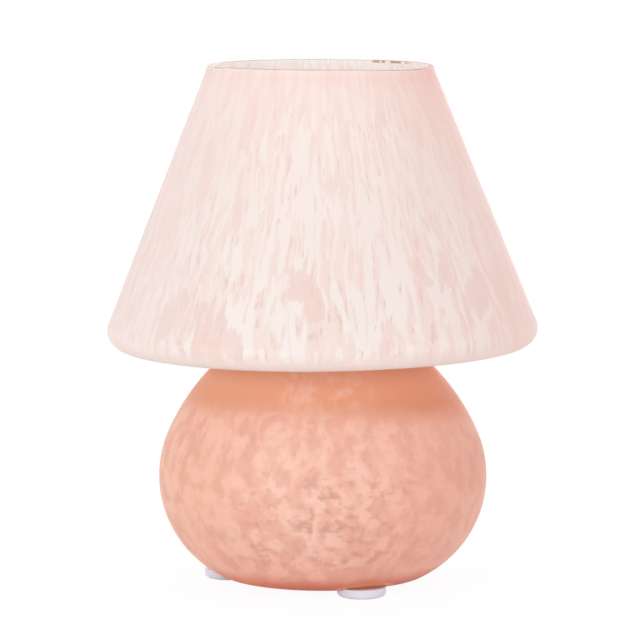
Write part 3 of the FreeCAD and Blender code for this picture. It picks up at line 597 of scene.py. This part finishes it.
def press_rim(shade):
    """Press the rim down softly at a few places."""
    top = max(vertex.co.z for vertex in shade.data.vertices)
    for turn, depth, reach in RIM_DENTS:
        spot = Vector((math.cos(math.radians(turn)), math.sin(math.radians(turn)), 0)) * SHADE_RIM_RADIUS
        spot.z = top

        def at_spot(vertex):
            return (vertex.co - spot).length < RIM_TOUCH and vertex.co.z > top - RIM_CREST

        pick(shade, "VERT", at_spot)
        bpy.ops.transform.translate(value=(0, 0, -depth), use_proportional_edit=True, proportional_size=reach,
                                    proportional_edit_falloff="SMOOTH")
        bpy.ops.object.mode_set(mode="OBJECT")


def make_shade(glass, inside_glass, rim_glass):
    """The blown shade in one piece, satin outside, smooth inside and polished along the rim's crest."""
    shade = turned("blown_shade", shade_outline(), BLOWN_SEGMENTS)
    lean_shade(shade)
    press_rim(shade)
    dress(shade, glass, "lamp", "glass_shade", 25)
    shade.data.materials.append(inside_glass)
    shade.data.materials.append(rim_glass)
    low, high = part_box("glass_shade")
    middle = (low.z + high.z) / 2
    for face in shade.data.polygons:
        upward, place = face.normal.z, face.center
        inward = face.normal.x * place.x + face.normal.y * place.y < 0
        if upward > CREST_FACING and place.z > middle:
            face.material_index = 2
        elif (inward and upward > INSIDE_FACING) or (upward > FLOOR_FACING and place.z < middle):
            face.material_index = 1


def glass_form(gap):
    """The base's outside below its widest level, a little larger, to cut the feet with."""
    low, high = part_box("glass_base")
    belly = belly_curve(BASE_WIDEST_HEIGHT - low.z - BASE_HEEL_CURVE)
    heel_centre = (high.x - BASE_HEEL_INSET, low.z + BASE_HEEL_CURVE)
    belly_centre = (high.x - belly, BASE_WIDEST_HEIGHT)
    heel_turn = -math.degrees(math.atan2(belly_centre[1] - heel_centre[1], heel_centre[0] - belly_centre[0]))
    return turned("glass_form", [
        (0, low.z - gap),
        (heel_centre[0], low.z - gap),
        *arc(heel_centre, BASE_HEEL_CURVE + gap, -90, heel_turn, 8),
        *arc(belly_centre, belly + gap, heel_turn, 0, 24),
        (0, BASE_WIDEST_HEIGHT),
    ], BLOWN_SEGMENTS, closed=False)


def make_feet(silicone):
    """Three stick-on bumper feet: round pads with a soft lower edge, hollowed to the glass above them."""
    for name in ("foot_front", "foot_rear", "foot_left"):
        middle = frame_mount(name.replace("foot", "foot_face"))["pos_m"]
        foot = cylinder(96, FOOT_RADIUS, FOOT_THICKNESS, (middle[0], middle[1], FOOT_THICKNESS / 2))
        foot.name = foot.data.name = "bumper_" + name
        bpy.ops.object.transform_apply()

        def on_floor(edge):
            return all(foot.data.vertices[end].co.z < WELD for end in edge.vertices)

        pick(foot, "EDGE", on_floor)
        bpy.ops.mesh.bevel(offset=FOOT_EDGE_ROUND, segments=7, affect="EDGES")
        bpy.ops.object.mode_set(mode="OBJECT")
        cut(foot, glass_form(FOOT_GLASS_GAP))
        dress(foot, silicone, "lamp", name, 40)


def make_grommet(rubber):
    """The cord's grommet, turned on the lamp's axis and then set in the hole at the back."""
    low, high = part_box("cord_grommet")
    half = GROMMET_LENGTH / 2
    ring = turned("rubber_grommet", rounded([
        (GROMMET_BORE, -half, 0.4 * MM),
        (GROMMET_FLANGE_RADIUS, -half, 0.65 * MM),
        (GROMMET_FLANGE_RADIUS, -half + GROMMET_FLANGE, 0.4 * MM),
        (GROMMET_NECK, -half + GROMMET_FLANGE),
        (GROMMET_NECK, half - GROMMET_FLANGE),
        (GROMMET_FLANGE_RADIUS, half - GROMMET_FLANGE, 0.2 * MM),
        (GROMMET_FLANGE_RADIUS, half, 0.65 * MM),
        (GROMMET_BORE, half, 0.4 * MM),
    ]), 64)
    activate(ring)
    ring.location = (low + high) / 2
    ring.rotation_euler = facing(frame_mount("cord_inlet")["axis"])
    bpy.ops.object.transform_apply()
    dress(ring, rubber, "lamp", "cord_grommet")


def make_neck_stack(materials):
    """The rings and plates between base and shade, and the disc that holds the shade down."""
    for node, slot, bore, edge in NECK_RINGS:
        low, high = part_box(node)
        ring = turned("pressed_" + node, rounded([
            (bore, low.z, edge),
            (high.x, low.z, edge),
            (high.x, high.z, edge),
            (bore, high.z, edge),
        ]), 128)
        dress(ring, materials[slot], "lamp", node)
    low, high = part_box("neck_cap")
    plate_low = high.z - NECK_CAP_BOSS_HEIGHT - NECK_CAP_PLATE
    cap = turned("turned_neck_cap", rounded([
        (NIPPLE_HOLE, low.z, 0.2 * MM),
        (NECK_CAP_SPIGOT, low.z, 0.4 * MM),
        (NECK_CAP_SPIGOT, plate_low),
        (high.x, plate_low, 0.3 * MM),
        (high.x, plate_low + NECK_CAP_PLATE, 0.5 * MM),
        (NECK_CAP_BOSS, plate_low + NECK_CAP_PLATE),
        (NECK_CAP_BOSS, high.z, 0.4 * MM),
        (NIPPLE_HOLE, high.z, 0.2 * MM),
    ]), 128)
    dress(cap, materials["turned_metal"], "lamp", "neck_cap")


def make_clamp_nut(steel):
    """A six-sided nut with its corners turned off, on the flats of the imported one."""
    low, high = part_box("shade_clamp_nut")
    flats, corners = sorted((high.x - low.x, high.y - low.y))
    nut = cylinder(6, corners / 2, high.z - low.z, (0, 0, (low.z + high.z) / 2))
    nut.name = nut.data.name = "clamp_nut"
    corners_along_x = high.x - low.x > high.y - low.y
    nut.rotation_euler.z = math.radians(90) if corners_along_x else 0
    bpy.ops.object.transform_apply()
    slope = (corners - flats) / 2 * NUT_CORNER_SLOPE
    form = turned("nut_form", rounded([
        (NUT_BORE + NUT_CHAMFER, low.z),
        (flats / 2, low.z),
        (corners / 2, low.z + slope),
        (corners / 2, high.z - slope),
        (flats / 2, high.z),
        (NUT_BORE + NUT_CHAMFER, high.z),
        (NUT_BORE, high.z - NUT_CHAMFER),
        (NUT_BORE, low.z + NUT_CHAMFER),
    ]), 96)
    cut(nut, form, "INTERSECT")
    dress(nut, steel, "lamp", "shade_clamp_nut", 25)


def make_holder(plastic):
    """The two moulded halves of the lamp holder: a flared cap below, and a sleeve with grip flutes above."""
    low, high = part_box("holder_cap")
    inside = HOLDER_RADIUS - HOLDER_WALL
    cap = turned("holder_cap_shell", rounded([
        (NUT_BORE, low.z, 0.2 * MM),
        (HOLDER_CAP_FOOT, low.z, 0.6 * MM),
        (HOLDER_RADIUS, low.z + HOLDER_CAP_FLARE, 2.5 * MM),
        (HOLDER_RADIUS, high.z, 0.3 * MM),
        (inside, high.z, 0.3 * MM),
        (inside, low.z + HOLDER_CAP_FLOOR + HOLDER_WALL),
        (inside - HOLDER_WALL, low.z + HOLDER_CAP_FLOOR),
        (NUT_BORE, low.z + HOLDER_CAP_FLOOR),
    ]), 128)
    screw_low, screw_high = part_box("holder_grub_screw")
    drill_place = (0, HOLDER_RADIUS / 2, (screw_low.z + screw_high.z) / 2)
    cut(cap, cylinder(32, GRUB_HOLE, HOLDER_RADIUS, drill_place, (math.radians(90), 0, 0)))
    dress(cap, plastic, "lamp", "holder_cap")
    low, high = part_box("holder_sleeve")
    bore = HOLDER_RADIUS - HOLDER_SLEEVE_WALL
    shoulder = low.z + HOLDER_SPIGOT
    flute_low, flute_high = shoulder + FLUTE_FOOT, high.z - FLUTE_HEAD
    sleeve = turned("holder_sleeve_shell", rounded([
        (bore, low.z),
        (inside - CLEARANCE, low.z, 0.3 * MM),
        (inside - CLEARANCE, shoulder),
        (HOLDER_RADIUS, shoulder, 0.3 * MM),
        (HOLDER_RADIUS, flute_low),
        (HOLDER_RADIUS, flute_high),
        (HOLDER_RADIUS, high.z, 1.5 * MM),
        (HOLDER_MOUTH, high.z, 0.5 * MM),
        (HOLDER_MOUTH, high.z - HOLDER_LIP, 0.3 * MM),
        (bore, high.z - HOLDER_LIP),
    ]), 144)

    def in_flute(face):
        middle = face.center
        turn = math.degrees(math.atan2(middle.y, middle.x)) % FLUTE_REPEAT
        outside = math.hypot(middle.x, middle.y) > HOLDER_RADIUS - 0.1 * MM
        return outside and flute_low < middle.z < flute_high and FLUTE_TURNS[0] < turn < FLUTE_TURNS[1]

    pick(sleeve, "FACE", in_flute)
    bpy.ops.mesh.inset(thickness=FLUTE_SLOPE, depth=-FLUTE_DEPTH)
    bpy.ops.object.mode_set(mode="OBJECT")
    dress(sleeve, plastic, "lamp", "holder_sleeve")


def make_screw_shell(metal):
    low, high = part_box("screw_shell")
    shell = turned("threaded_shell", [
        *upright(SHELL_MIDDLE + SHELL_WALL, low.z, high.z, 126),
        *upright(SHELL_MIDDLE, high.z, low.z, 126),
    ], 96)
    thread(shell, low.z, high.z, (high.z - low.z) / SHELL_TURNS, BULB_THREAD_DEPTH, SHELL_THREAD_FADE)
    dress(shell, metal, "lamp", "screw_shell", 60)


def make_bulb(materials):
    """The opal globe bulb: globe, plastic collar, threaded metal cap and tip."""
    low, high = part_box("bulb_globe")
    middle = high.z - BULB_RADIUS
    neck_turn = -math.degrees(math.acos(BULB_NECK / BULB_RADIUS))
    inner = BULB_RADIUS - BULB_GLASS
    inner_neck_turn = -math.degrees(math.asin((middle - low.z) / inner))
    neck = BULB_NECK - BULB_NECK_STEP
    globe = turned("opal_globe", [
        (0, middle + inner),
        *arc((0, middle), inner, 90, inner_neck_turn, 40),
        (neck, low.z),
        *arc((0, middle), BULB_RADIUS, neck_turn + 1.5, 90, 60)[:-1],
        (0, high.z),
    ], 160, closed=False)
    dress(globe, materials["bulb_opal"], "bulb", "bulb_globe")

    low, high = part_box("bulb_collar")
    cap_low, cap_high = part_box("bulb_screw_cap")
    board_low, board_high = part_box("bulb_led_board")
    rim_low = high.z - BULB_COLLAR_RIM
    shelf = board_high.x + CLEARANCE
    collar = turned("bulb_collar_shell", rounded([
        (BULB_COLLAR_BORE, low.z, 0.3 * MM),
        (BULB_CAP_INSIDE - CLEARANCE, low.z),
        (BULB_CAP_INSIDE - CLEARANCE, cap_high.z),
        (BULB_COLLAR_FOOT, cap_high.z, 0.5 * MM),
        (BULB_COLLAR_FOOT, cap_high.z + BULB_COLLAR_STRAIGHT, 1.5 * MM),
        (neck, rim_low - BULB_NECK_STEP, 1 * MM),
        (neck, rim_low),
        (BULB_NECK, rim_low, 0.3 * MM),
        (BULB_NECK, high.z, 0.3 * MM),
        (shelf, high.z),
        (shelf, board_low.z),
        (shelf - BULB_BOARD_LEDGE, board_low.z),
        (shelf - BULB_BOARD_LEDGE, rim_low),
        (BULB_COLLAR_BORE, cap_high.z + BULB_COLLAR_STRAIGHT),
    ]), 128)
    dress(collar, materials["bulb_plastic"], "bulb", "bulb_collar")

    thread_high = cap_low.z + BULB_THREAD_TURNS * BULB_THREAD_PITCH
    cap = turned("threaded_bulb_cap", [
        *upright(BULB_THREAD_MIDDLE, cap_low.z, thread_high, 90),
        *upright(BULB_THREAD_MIDDLE, thread_high + BULB_CAP_PLAIN, cap_high.z, 6),
        *upright(BULB_CAP_INSIDE, cap_high.z, thread_high + BULB_CAP_PLAIN, 2),
        *upright(BULB_CAP_INSIDE, thread_high, cap_low.z, 90),
    ], 96)
    thread(cap, cap_low.z, thread_high, BULB_THREAD_PITCH, BULB_THREAD_DEPTH, BULB_THREAD_FADE)
    dress(cap, materials["bulb_metal"], "bulb", "bulb_screw_cap", 60)

    low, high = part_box("bulb_tip_contact")
    tip = turned("bulb_tip_button", [
        (0, low.z),
        (BULB_TIP * 0.35, low.z),
        (BULB_TIP * 0.7, low.z + 0.2 * MM),
        (BULB_TIP * 0.93, low.z + 0.55 * MM),
        (BULB_TIP, high.z),
        (0, high.z),
    ], 48, closed=False)
    dress(tip, materials["bulb_metal"], "bulb", "bulb_tip_contact", 60)


def add_node(tree, kind, inputs=None, **settings):
    """A new shader node in a tree. An input that is a socket is linked, and any other is set."""
    node = tree.nodes.new("ShaderNode" + kind)
    for name, setting in settings.items():
        setattr(node, name, setting)
    for name, source in (inputs or {}).items():
        if isinstance(source, bpy.types.NodeSocket):
            tree.links.new(source, node.inputs[name])
        else:
            node.inputs[name].default_value = source
    return node


def follow(kind, inputs, **settings):
    """A new shader node in the tree of the sockets that it follows."""
    tree = next(source.id_data for source in inputs.values() if isinstance(source, bpy.types.NodeSocket))
    return add_node(tree, kind, inputs, **settings)


def new_material(name, **sockets):
    """A material whose Principled shader has these plain values; underscores stand for spaces."""
    material = bpy.data.materials.new(name)
    material.use_nodes = True
    surface = material.node_tree.nodes["Principled BSDF"]
    for socket, setting in sockets.items():
        surface.inputs[socket.replace("_", " ").title().replace("Ior", "IOR")].default_value = setting
    return material


def drive(material, name, source):
    """Link a socket to one of the Principled shader's inputs."""
    material.node_tree.links.new(source, material.node_tree.nodes["Principled BSDF"].inputs[name])


def place_of(material):
    return add_node(material.node_tree, "TexCoord").outputs["Object"]


def axes_of(place):
    return follow("SeparateXYZ", {0: place}).outputs


def noise(place, size, detail=2.0, rough=0.5, twist=0.0, output="Fac"):
    """Noise whose patches are about a given size."""
    settings = {"Vector": place, "Scale": 1 / size, "Detail": detail, "Roughness": rough, "Distortion": twist}
    return follow("TexNoise", settings).outputs[output]


def fade(source, low, high, start=0.0, finish=1.0):
    """Smoothly from start to finish while the source goes from low to high."""
    settings = {"Value": source, "From Min": low, "From Max": high, "To Min": start, "To Max": finish}
    return follow("MapRange", settings, interpolation_type="SMOOTHSTEP").outputs["Result"]


def blend(share, first, second, mode="MIX"):
    return follow("Mix", {0: share, 6: first, 7: second}, data_type="RGBA", blend_type=mode).outputs[2]


def tinted(share, colour, tint):
    """A colour that a tint multiplies on a share of the surface."""
    return blend(share, colour, (*tint, 1), "MULTIPLY")


def times(first, second):
    return follow("Math", {0: first, 1: second}, operation="MULTIPLY").outputs[0]


def plus(first, second):
    return follow("Math", {0: first, 1: second}, operation="ADD").outputs[0]


def larger(first, second):
    return follow("Math", {0: first, 1: second}, operation="MAXIMUM").outputs[0]


def without_sign(source):
    return follow("Math", {0: source}, operation="ABSOLUTE").outputs[0]


def scaled(vector, factors):
    return follow("VectorMath", {0: vector, 1: factors}, operation="MULTIPLY").outputs[0]


def shifted(start, vector, factors):
    """A place moved by a vector times these factors."""
    return follow("VectorMath", {0: vector, 1: factors, 2: start}, operation="MULTIPLY_ADD").outputs[0]


def bump(height, strength, distance):
    return follow("Bump", {"Height": height, "Strength": strength, "Distance": distance}).outputs["Normal"]


def make_satin(glass, place):
    """The fine grain of etched glass, in its roughness and its surface."""
    grain = noise(place, SATIN_SIZE, 3.0, 0.6)
    drive(glass, "Roughness", fade(grain, 0.3, 0.7, 0.48, 0.6))
    drive(glass, "Normal", bump(grain, 0.1, SATIN_DEPTH))


def patches(place, spots, rag):
    """1 inside any of these soft spots, each a middle and its half sizes. A rag near 1 shapes the edges."""
    whole = 0.0
    for middle, size in spots:
        away = follow("VectorMath", {0: place, 1: middle}, operation="SUBTRACT").outputs[0]
        shares = follow("VectorMath", {0: away, 1: size}, operation="DIVIDE").outputs[0]
        reach = follow("VectorMath", {0: shares}, operation="LENGTH").outputs["Value"]
        whole = larger(whole, fade(plus(reach, rag), *PATCH_EDGE))
    return whole


def shade_material():
    """Pale pink satin glass. Cream streaks run up the cone and leave some rosy patches."""
    low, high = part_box("glass_shade")
    glass = new_material("shade_glass", roughness=0.55, subsurface_weight=0.7, subsurface_scale=5 * MM,
                         subsurface_radius=(1.0, 0.85, 0.8))
    place = place_of(glass)
    side, _, height = axes_of(place)
    off_middle = without_sign(side)

    # The noise runs round the lamp and changes five times more slowly upwards, and sways a little.
    level = scaled(place, (1, 1, 0))
    around = follow("VectorMath", {0: level}, operation="NORMALIZE").outputs[0]
    along = shifted(scaled(place, (0, 0, 0.2)), around, (SHADE_MIDDLE_RADIUS,) * 3)
    swayed = shifted(along, noise(place, SHADE_SWAY_SIZE, output="Color"), SHADE_SWAY)
    broad = noise(swayed, SHADE_BROAD_SIZE, 1.0, 0.45)
    tone = noise(swayed, SHADE_TONE_SIZE, 1.0)
    streak = noise(swayed, SHADE_STREAK_SIZE, 2.0, 0.45, 0.3)
    fine = noise(swayed, SHADE_SLIVER_SIZE, 2.0, 0.5, 0.3)
    patch = noise(scaled(swayed, (1, 1, 1.8)), SHADE_PATCH_SIZE, 1.0, 0.4)
    mixed = plus(times(streak, 0.7), times(broad, 0.3))

    # Streaks and patches show most near the shade's foot, and in the middle up to just below the rim.
    crisp = fade(off_middle, 35 * MM, 80 * MM, 1, 0.5)
    near_foot = times(fade(height, low.z + 15 * MM, low.z + 95 * MM, 1, 0.35), crisp)
    under_rim = fade(height, high.z - 6 * MM, high.z - 20 * MM)
    amid = times(fade(off_middle, 18 * MM, 44 * MM, 0.72, 0.3), under_rim)
    clear = larger(near_foot, amid)

    # Rosy patches stay bare, cream streaks cover the rest, and fine darker slivers lie between them.
    ragged = plus(patch, times(streak, 0.3))
    rosy_patch = patches(place, ROSE_PATCHES, times(streak, PATCH_RAG))
    creamy_patch = patches(place, CREAM_PATCHES, times(streak, PATCH_RAG))
    bare = times(fade(ragged, 0.76, 0.8), fade(creamy_patch, 0, 1, 1, 0.1))
    bare = larger(bare, rosy_patch)
    kept = fade(bare, 0, 1, 1, 0.2)
    creamier = plus(mixed, times(creamy_patch, 0.03))
    streaks = times(fade(creamier, 0.46, 0.55), times(clear, kept))
    slivers = times(fade(fine, 0.42, 0.36), times(clear, fade(mixed, 0.5, 0.47)))
    ground = blend(fade(tone, 0.38, 0.62), SHADE_GROUND, SHADE_DEEP_GROUND)
    colour = blend(times(bare, clear), ground, SHADE_ROSE)
    colour = blend(streaks, colour, SHADE_CREAM)
    colour = blend(slivers, colour, SHADE_SLIVER)

    # A plain band runs round the bottom edge. The glass is rosier to the right, partly its own tone and
    # partly painted shade on the side away from the key lamp. Painted shade deepens both edges, where the
    # wall turns away, and the glass is rosier at the top.
    colour = tinted(fade(side, -20 * MM, 90 * MM, 0, 0.9), colour, SHADE_RIGHT_TONE_AND_SHADE)
    band = fade(height, low.z + 7 * MM, low.z + 2 * MM, 0, 0.85)
    colour = blend(band, colour, SHADE_BAND)
    turn = axes_of(around)[0]
    colour = tinted(fade(turn, 0.7, 1), colour, SHADE_RIGHT_EDGE_SHADE)
    colour = tinted(fade(turn, -0.75, -1), colour, SHADE_LEFT_EDGE_SHADE)
    colour = tinted(fade(height, high.z - 10 * MM, high.z - 3 * MM), colour, SHADE_TOP_TINT)
    corner = times(fade(side, 22 * MM, 45 * MM), fade(height, high.z - 40 * MM, high.z))
    drive(glass, "Base Color", tinted(corner, colour, SHADE_CORNER_TINT))
    make_satin(glass, place)
    return glass


def shade_inside_material():
    """The smooth inside of the shade's glass, paler, with daylight soaking through it from behind."""
    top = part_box("glass_shade")[1].z
    glass = new_material("shade_inside", roughness=0.25, subsurface_weight=1.0, subsurface_scale=90 * MM,
                         subsurface_radius=(1.0, 0.45, 0.38))
    place = place_of(glass)
    side, depth, height = axes_of(place)
    drawn = scaled(place, (1, 1, 0.2))
    streak = noise(drawn, INSIDE_STREAK_SIZE)
    colour = blend(fade(streak, 0.42, 0.58), INSIDE_ROSE, INSIDE_PALE)

    # Painted reflections: short brown dashes lie just under the rim, at the far right.
    # Less light soaks through them.
    drops = fade(noise(drawn, INSIDE_DASH_SIZE, 1.0), 0.42, 0.46)
    along = times(fade(side, 20 * MM, 22 * MM), fade(side, 40 * MM, 32 * MM))
    far_rim = times(fade(height, top - 1.15 * MM, top - 1 * MM), fade(depth, 0, 10 * MM))
    reflection_dashes = times(drops, times(along, far_rim))
    drive(glass, "Base Color", blend(reflection_dashes, colour, INSIDE_REFLECTION_DASH))
    drive(glass, "Subsurface Weight", fade(reflection_dashes, 0, 1, 1, 0.2))
    drive(glass, "Roughness", fade(streak, 0.3, 0.7, 0.22, 0.4))
    return glass


def shade_rim_material():
    """The polished crest of the rim: rosy brown, with painted shade deeper at the front right."""
    glass = new_material("shade_rim", roughness=0.4, specular_ior_level=0.05)
    place = place_of(glass)
    side, depth, _ = axes_of(place)
    # Its brown is partly the cut glass and partly the wall's depth seen down through the crest, painted in.
    # Painted shade makes it deeper at the front right and, at the sides, darker on the right than the left.
    cloud = noise(place, RIM_CLOUD_SIZE, 1.0)
    colour = blend(fade(cloud, 0.5, 0.6), RIM_BROWN, RIM_PALE)
    shaded_front_right = times(fade(side, 18 * MM, 40 * MM), fade(depth, 0, -10 * MM))
    colour = blend(shaded_front_right, colour, RIM_DEEP_SHADE)
    colour = blend(fade(depth, 20 * MM, 36 * MM, 0, 0.7), colour, RIM_FAR)
    at_sides = fade(without_sign(depth), 26 * MM, 12 * MM)
    side_tone_and_shade = blend(fade(side, -10 * MM, 20 * MM), RIM_LEFT, RIM_RIGHT_SHADE)
    drive(glass, "Base Color", blend(at_sides, colour, side_tone_and_shade))
    drive(glass, "Roughness", fade(cloud, 0.3, 0.7, 0.35, 0.45))
    return glass


def base_material():
    """Peach satin glass with soft darker mottles; thick glass and painted shade deepen the neck and heel."""
    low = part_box("glass_base")[0]
    glass = new_material("base_glass", roughness=0.55, subsurface_weight=0.4, subsurface_scale=3 * MM,
                         subsurface_radius=(1.0, 0.55, 0.4))
    place = place_of(glass)
    side, _, height = axes_of(place)
    off_middle = without_sign(side)
    swayed = shifted(place, noise(place, BASE_SWAY_SIZE, 1.0, output="Color"), BASE_SWAY)

    # Light clouds lie on a deeper ground, drawn out upwards on the shoulder and fainter at the right.
    cloud = noise(swayed, BASE_CLOUD_SIZE, 2.5)
    veil = noise(scaled(swayed, (1, 1, 0.55)), BASE_VEIL_SIZE, 2.5)
    stretched = fade(height, 44 * MM, 66 * MM)
    soft = follow("Mix", {0: stretched, 2: cloud, 3: veil}).outputs[0]
    crisp = fade(side, 15 * MM, 50 * MM, 1, 0.6)
    even = fade(crisp, 0, 1, 0.5, 0)
    pale = plus(times(fade(soft, 0.38, 0.6), crisp), even)
    colour = blend(pale, BASE_GROUND, BASE_LIGHT)

    # Darker mottles gather on the lower front.
    spots = noise(scaled(swayed, (1, 1, 1.35)), BASE_MOTTLE_SIZE, 2.0, 0.45)
    cluster = noise(place, BASE_CLUSTER_SIZE, 1.0)
    low_front = times(fade(height, 10 * MM, 20 * MM), fade(height, 64 * MM, 46 * MM, 0.3, 1))
    amid = fade(off_middle, 26 * MM, 44 * MM, 1, 0.15)
    gathered = times(fade(cluster, 0.34, 0.6, 0.5, 0.95), amid)
    mottles = times(fade(spots, 0.44, 0.72), times(gathered, low_front))
    colour = blend(mottles, colour, BASE_MOTTLE)

    # Deeper low down, partly the thicker glass and partly painted shade where the base turns under. Painted
    # shade darkens both sides and the right edge, where it turns away; the sides also keep their own amber
    # tone at the left and rosy tone at the right.
    colour = tinted(fade(height, 32 * MM, 10 * MM), colour, BASE_LOW_DEPTH_AND_SHADE)
    reach = times(fade(height, 6 * MM, 36 * MM, 0.5, 1), fade(height, 50 * MM, 70 * MM, 1, 0.65))
    right_tone_and_shade = times(fade(side, -20 * MM, 60 * MM), reach)
    left_tone_and_shade = times(fade(side, 0, -60 * MM), reach)
    right_turn_shade = times(fade(side, 44 * MM, 64 * MM), fade(height, 36 * MM, 54 * MM))
    colour = tinted(right_tone_and_shade, colour, BASE_RIGHT_TONE_AND_SHADE)
    colour = tinted(left_tone_and_shade, colour, BASE_LEFT_TONE_AND_SHADE)
    colour = tinted(right_turn_shade, colour, BASE_TURN_SHADE)

    # The neck is orange, partly thicker glass and partly a painted shadow under the shade. Painted light
    # lightens it towards the top and painted shade darkens it on the right. Paler streaks run in its middle.
    arched = plus(height, times(times(side, side), NECK_ARCH))
    arched = plus(arched, times(side, NECK_SLANT))
    neck = fade(plus(arched, times(veil, NECK_RAG)), *NECK_SHADOW_EDGE)
    thin_streak = noise(scaled(place, (1, 1, 0.22)), NECK_STREAK_SIZE, 1.0)
    paler = times(fade(thin_streak, 0.36, 0.72), fade(height, 76 * MM, 86 * MM))
    paler = times(paler, fade(off_middle, 26 * MM, 10 * MM, 0, 0.9))
    orange_and_shadow = blend(fade(height, 77 * MM, 89 * MM), NECK_ORANGE_AND_SHADOW, NECK_LIT_ORANGE)
    orange_and_shadow = blend(paler, orange_and_shadow, NECK_PALE)
    colour = blend(neck, colour, tinted(right_tone_and_shade, orange_and_shadow, NECK_RIGHT_SHADE))

    # The heel is deep orange, partly thick bottom glass and partly painted shade where it meets the floor.
    # Painted light makes it lighter at the left, and a pool of painted light lifts it round the front foot.
    heel = fade(height, low.z + 9 * MM, low.z + 0.5 * MM)
    heel_colour = blend(fade(side, -5 * MM, -40 * MM), HEEL_DEPTH_AND_SHADE, HEEL_LIT_LEFT)
    colour = blend(heel, colour, heel_colour)
    foot_low, foot_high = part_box("foot_front")
    lit_by_foot = patches(place, [((foot_low + foot_high) / 2, FOOT_PAINTED_LIGHT_REACH)], 1.0)
    drive(glass, "Base Color", blend(lit_by_foot, colour, FOOT_PAINTED_LIGHT))
    make_satin(glass, place)
    return glass


def finish(name, colour, tint, grain, rough, depth=0.02 * MM, stretch=(1, 1, 1), **sockets):
    """A material with fine grain: two close colours, a changing roughness and a shallow bump."""
    material = new_material(name, **sockets)
    place = place_of(material)
    fine = noise(scaled(place, stretch), grain, 4.0, 0.6)
    broad = noise(place, grain * 12)
    share = plus(times(fine, 0.5), times(broad, 0.5))
    drive(material, "Base Color", blend(fade(share, 0.35, 0.65), colour, tint))
    drive(material, "Roughness", fade(share, 0.35, 0.65, *rough))
    drive(material, "Normal", bump(fine, 0.3, depth))
    return material


def make_stage():
    """A white floor that keeps the lamp's soft shadow, and white all round."""
    deselect()
    bpy.ops.mesh.primitive_circle_add(vertices=96, radius=12, fill_type="NGON")
    floor = bpy.context.object
    floor.name = "floor"
    white = new_material("white_floor", base_color=(0.85, 0.85, 0.85, 1), roughness=0.9)
    show_white(white, FLOOR_WHITE)
    floor.data.materials.append(white)
    world = bpy.data.worlds.new("white_room")
    bpy.context.scene.world = world
    world.use_nodes = True
    tree = world.node_tree
    seen = tree.nodes["Background"]
    seen.inputs["Color"].default_value = (1, 1, 1, 1)
    light = add_node(tree, "Background", {"Color": ROOM_COLOUR, "Strength": ROOM_LIGHT})
    mixer = follow("MixShader", {0: seen_directly(tree), 1: light.outputs[0], 2: seen.outputs[0]})
    tree.links.new(mixer.outputs[0], tree.nodes["World Output"].inputs["Surface"])


def seen_directly(tree):
    """1 for what the camera sees, straight, in a gloss or through clear glass."""
    rays = add_node(tree, "LightPath").outputs
    straight = larger(rays["Is Camera Ray"], rays["Is Glossy Ray"])
    return larger(straight, rays["Is Transmission Ray"])


def show_white(material, share):
    """Let a share of what the camera sees of this surface be plain white, and the rest its lit colour."""
    tree = material.node_tree
    white = add_node(tree, "Emission", {"Color": (1, 1, 1, 1), "Strength": FLOOR_GLOW})
    lit = tree.nodes["Principled BSDF"].outputs[0]
    mixer = follow("MixShader", {0: times(seen_directly(tree), share), 1: lit, 2: white.outputs[0]})
    tree.links.new(mixer.outputs[0], tree.nodes["Material Output"].inputs["Surface"])


def make_lights():
    for name, place, size, power in LIGHTS:
        deselect()
        bpy.ops.object.light_add(type="AREA", location=place)
        lamp = bpy.context.object
        lamp.name = name
        lamp.data.size = size
        lamp.data.energy = power
        lamp.rotation_euler = facing(AIM - Vector(place), "-Z")


def make_camera():
    deselect()
    tilt = math.radians(90 - CAMERA_DIP)
    bpy.ops.object.camera_add(location=CAMERA_PLACE, rotation=(tilt, 0, 0))
    camera = bpy.context.object
    camera.data.lens = CAMERA_LENS
    camera.data.sensor_width = 36
    bpy.context.scene.camera = camera


def dress_nodes(materials):
    """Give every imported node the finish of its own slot."""
    for part in frame["record"]["subparts"]:
        material = materials.get(part["material_slot"])
        if material:
            for slot in frame["nodes"][part["node"]].material_slots:
                slot.material = material


bpy.context.scene.view_settings.view_transform = "Standard"
make_camera()
make_lights()
make_stage()
finishes = {slot: finish(slot, *values, **others) for slot, (*values, others) in FINISHES.items()}
finishes["shade_glass"] = shade_material()
finishes["base_glass"] = base_material()
make_base(finishes["base_glass"])
make_shade(finishes["shade_glass"], shade_inside_material(), shade_rim_material())
make_feet(finishes["foot_silicone"])
make_grommet(finishes["grommet_rubber"])
make_neck_stack(finishes)
make_clamp_nut(finishes["zinc_steel"])
make_holder(finishes["holder_plastic"])
make_screw_shell(finishes["contact_metal"])
make_bulb(finishes)
dress_nodes(finishes)
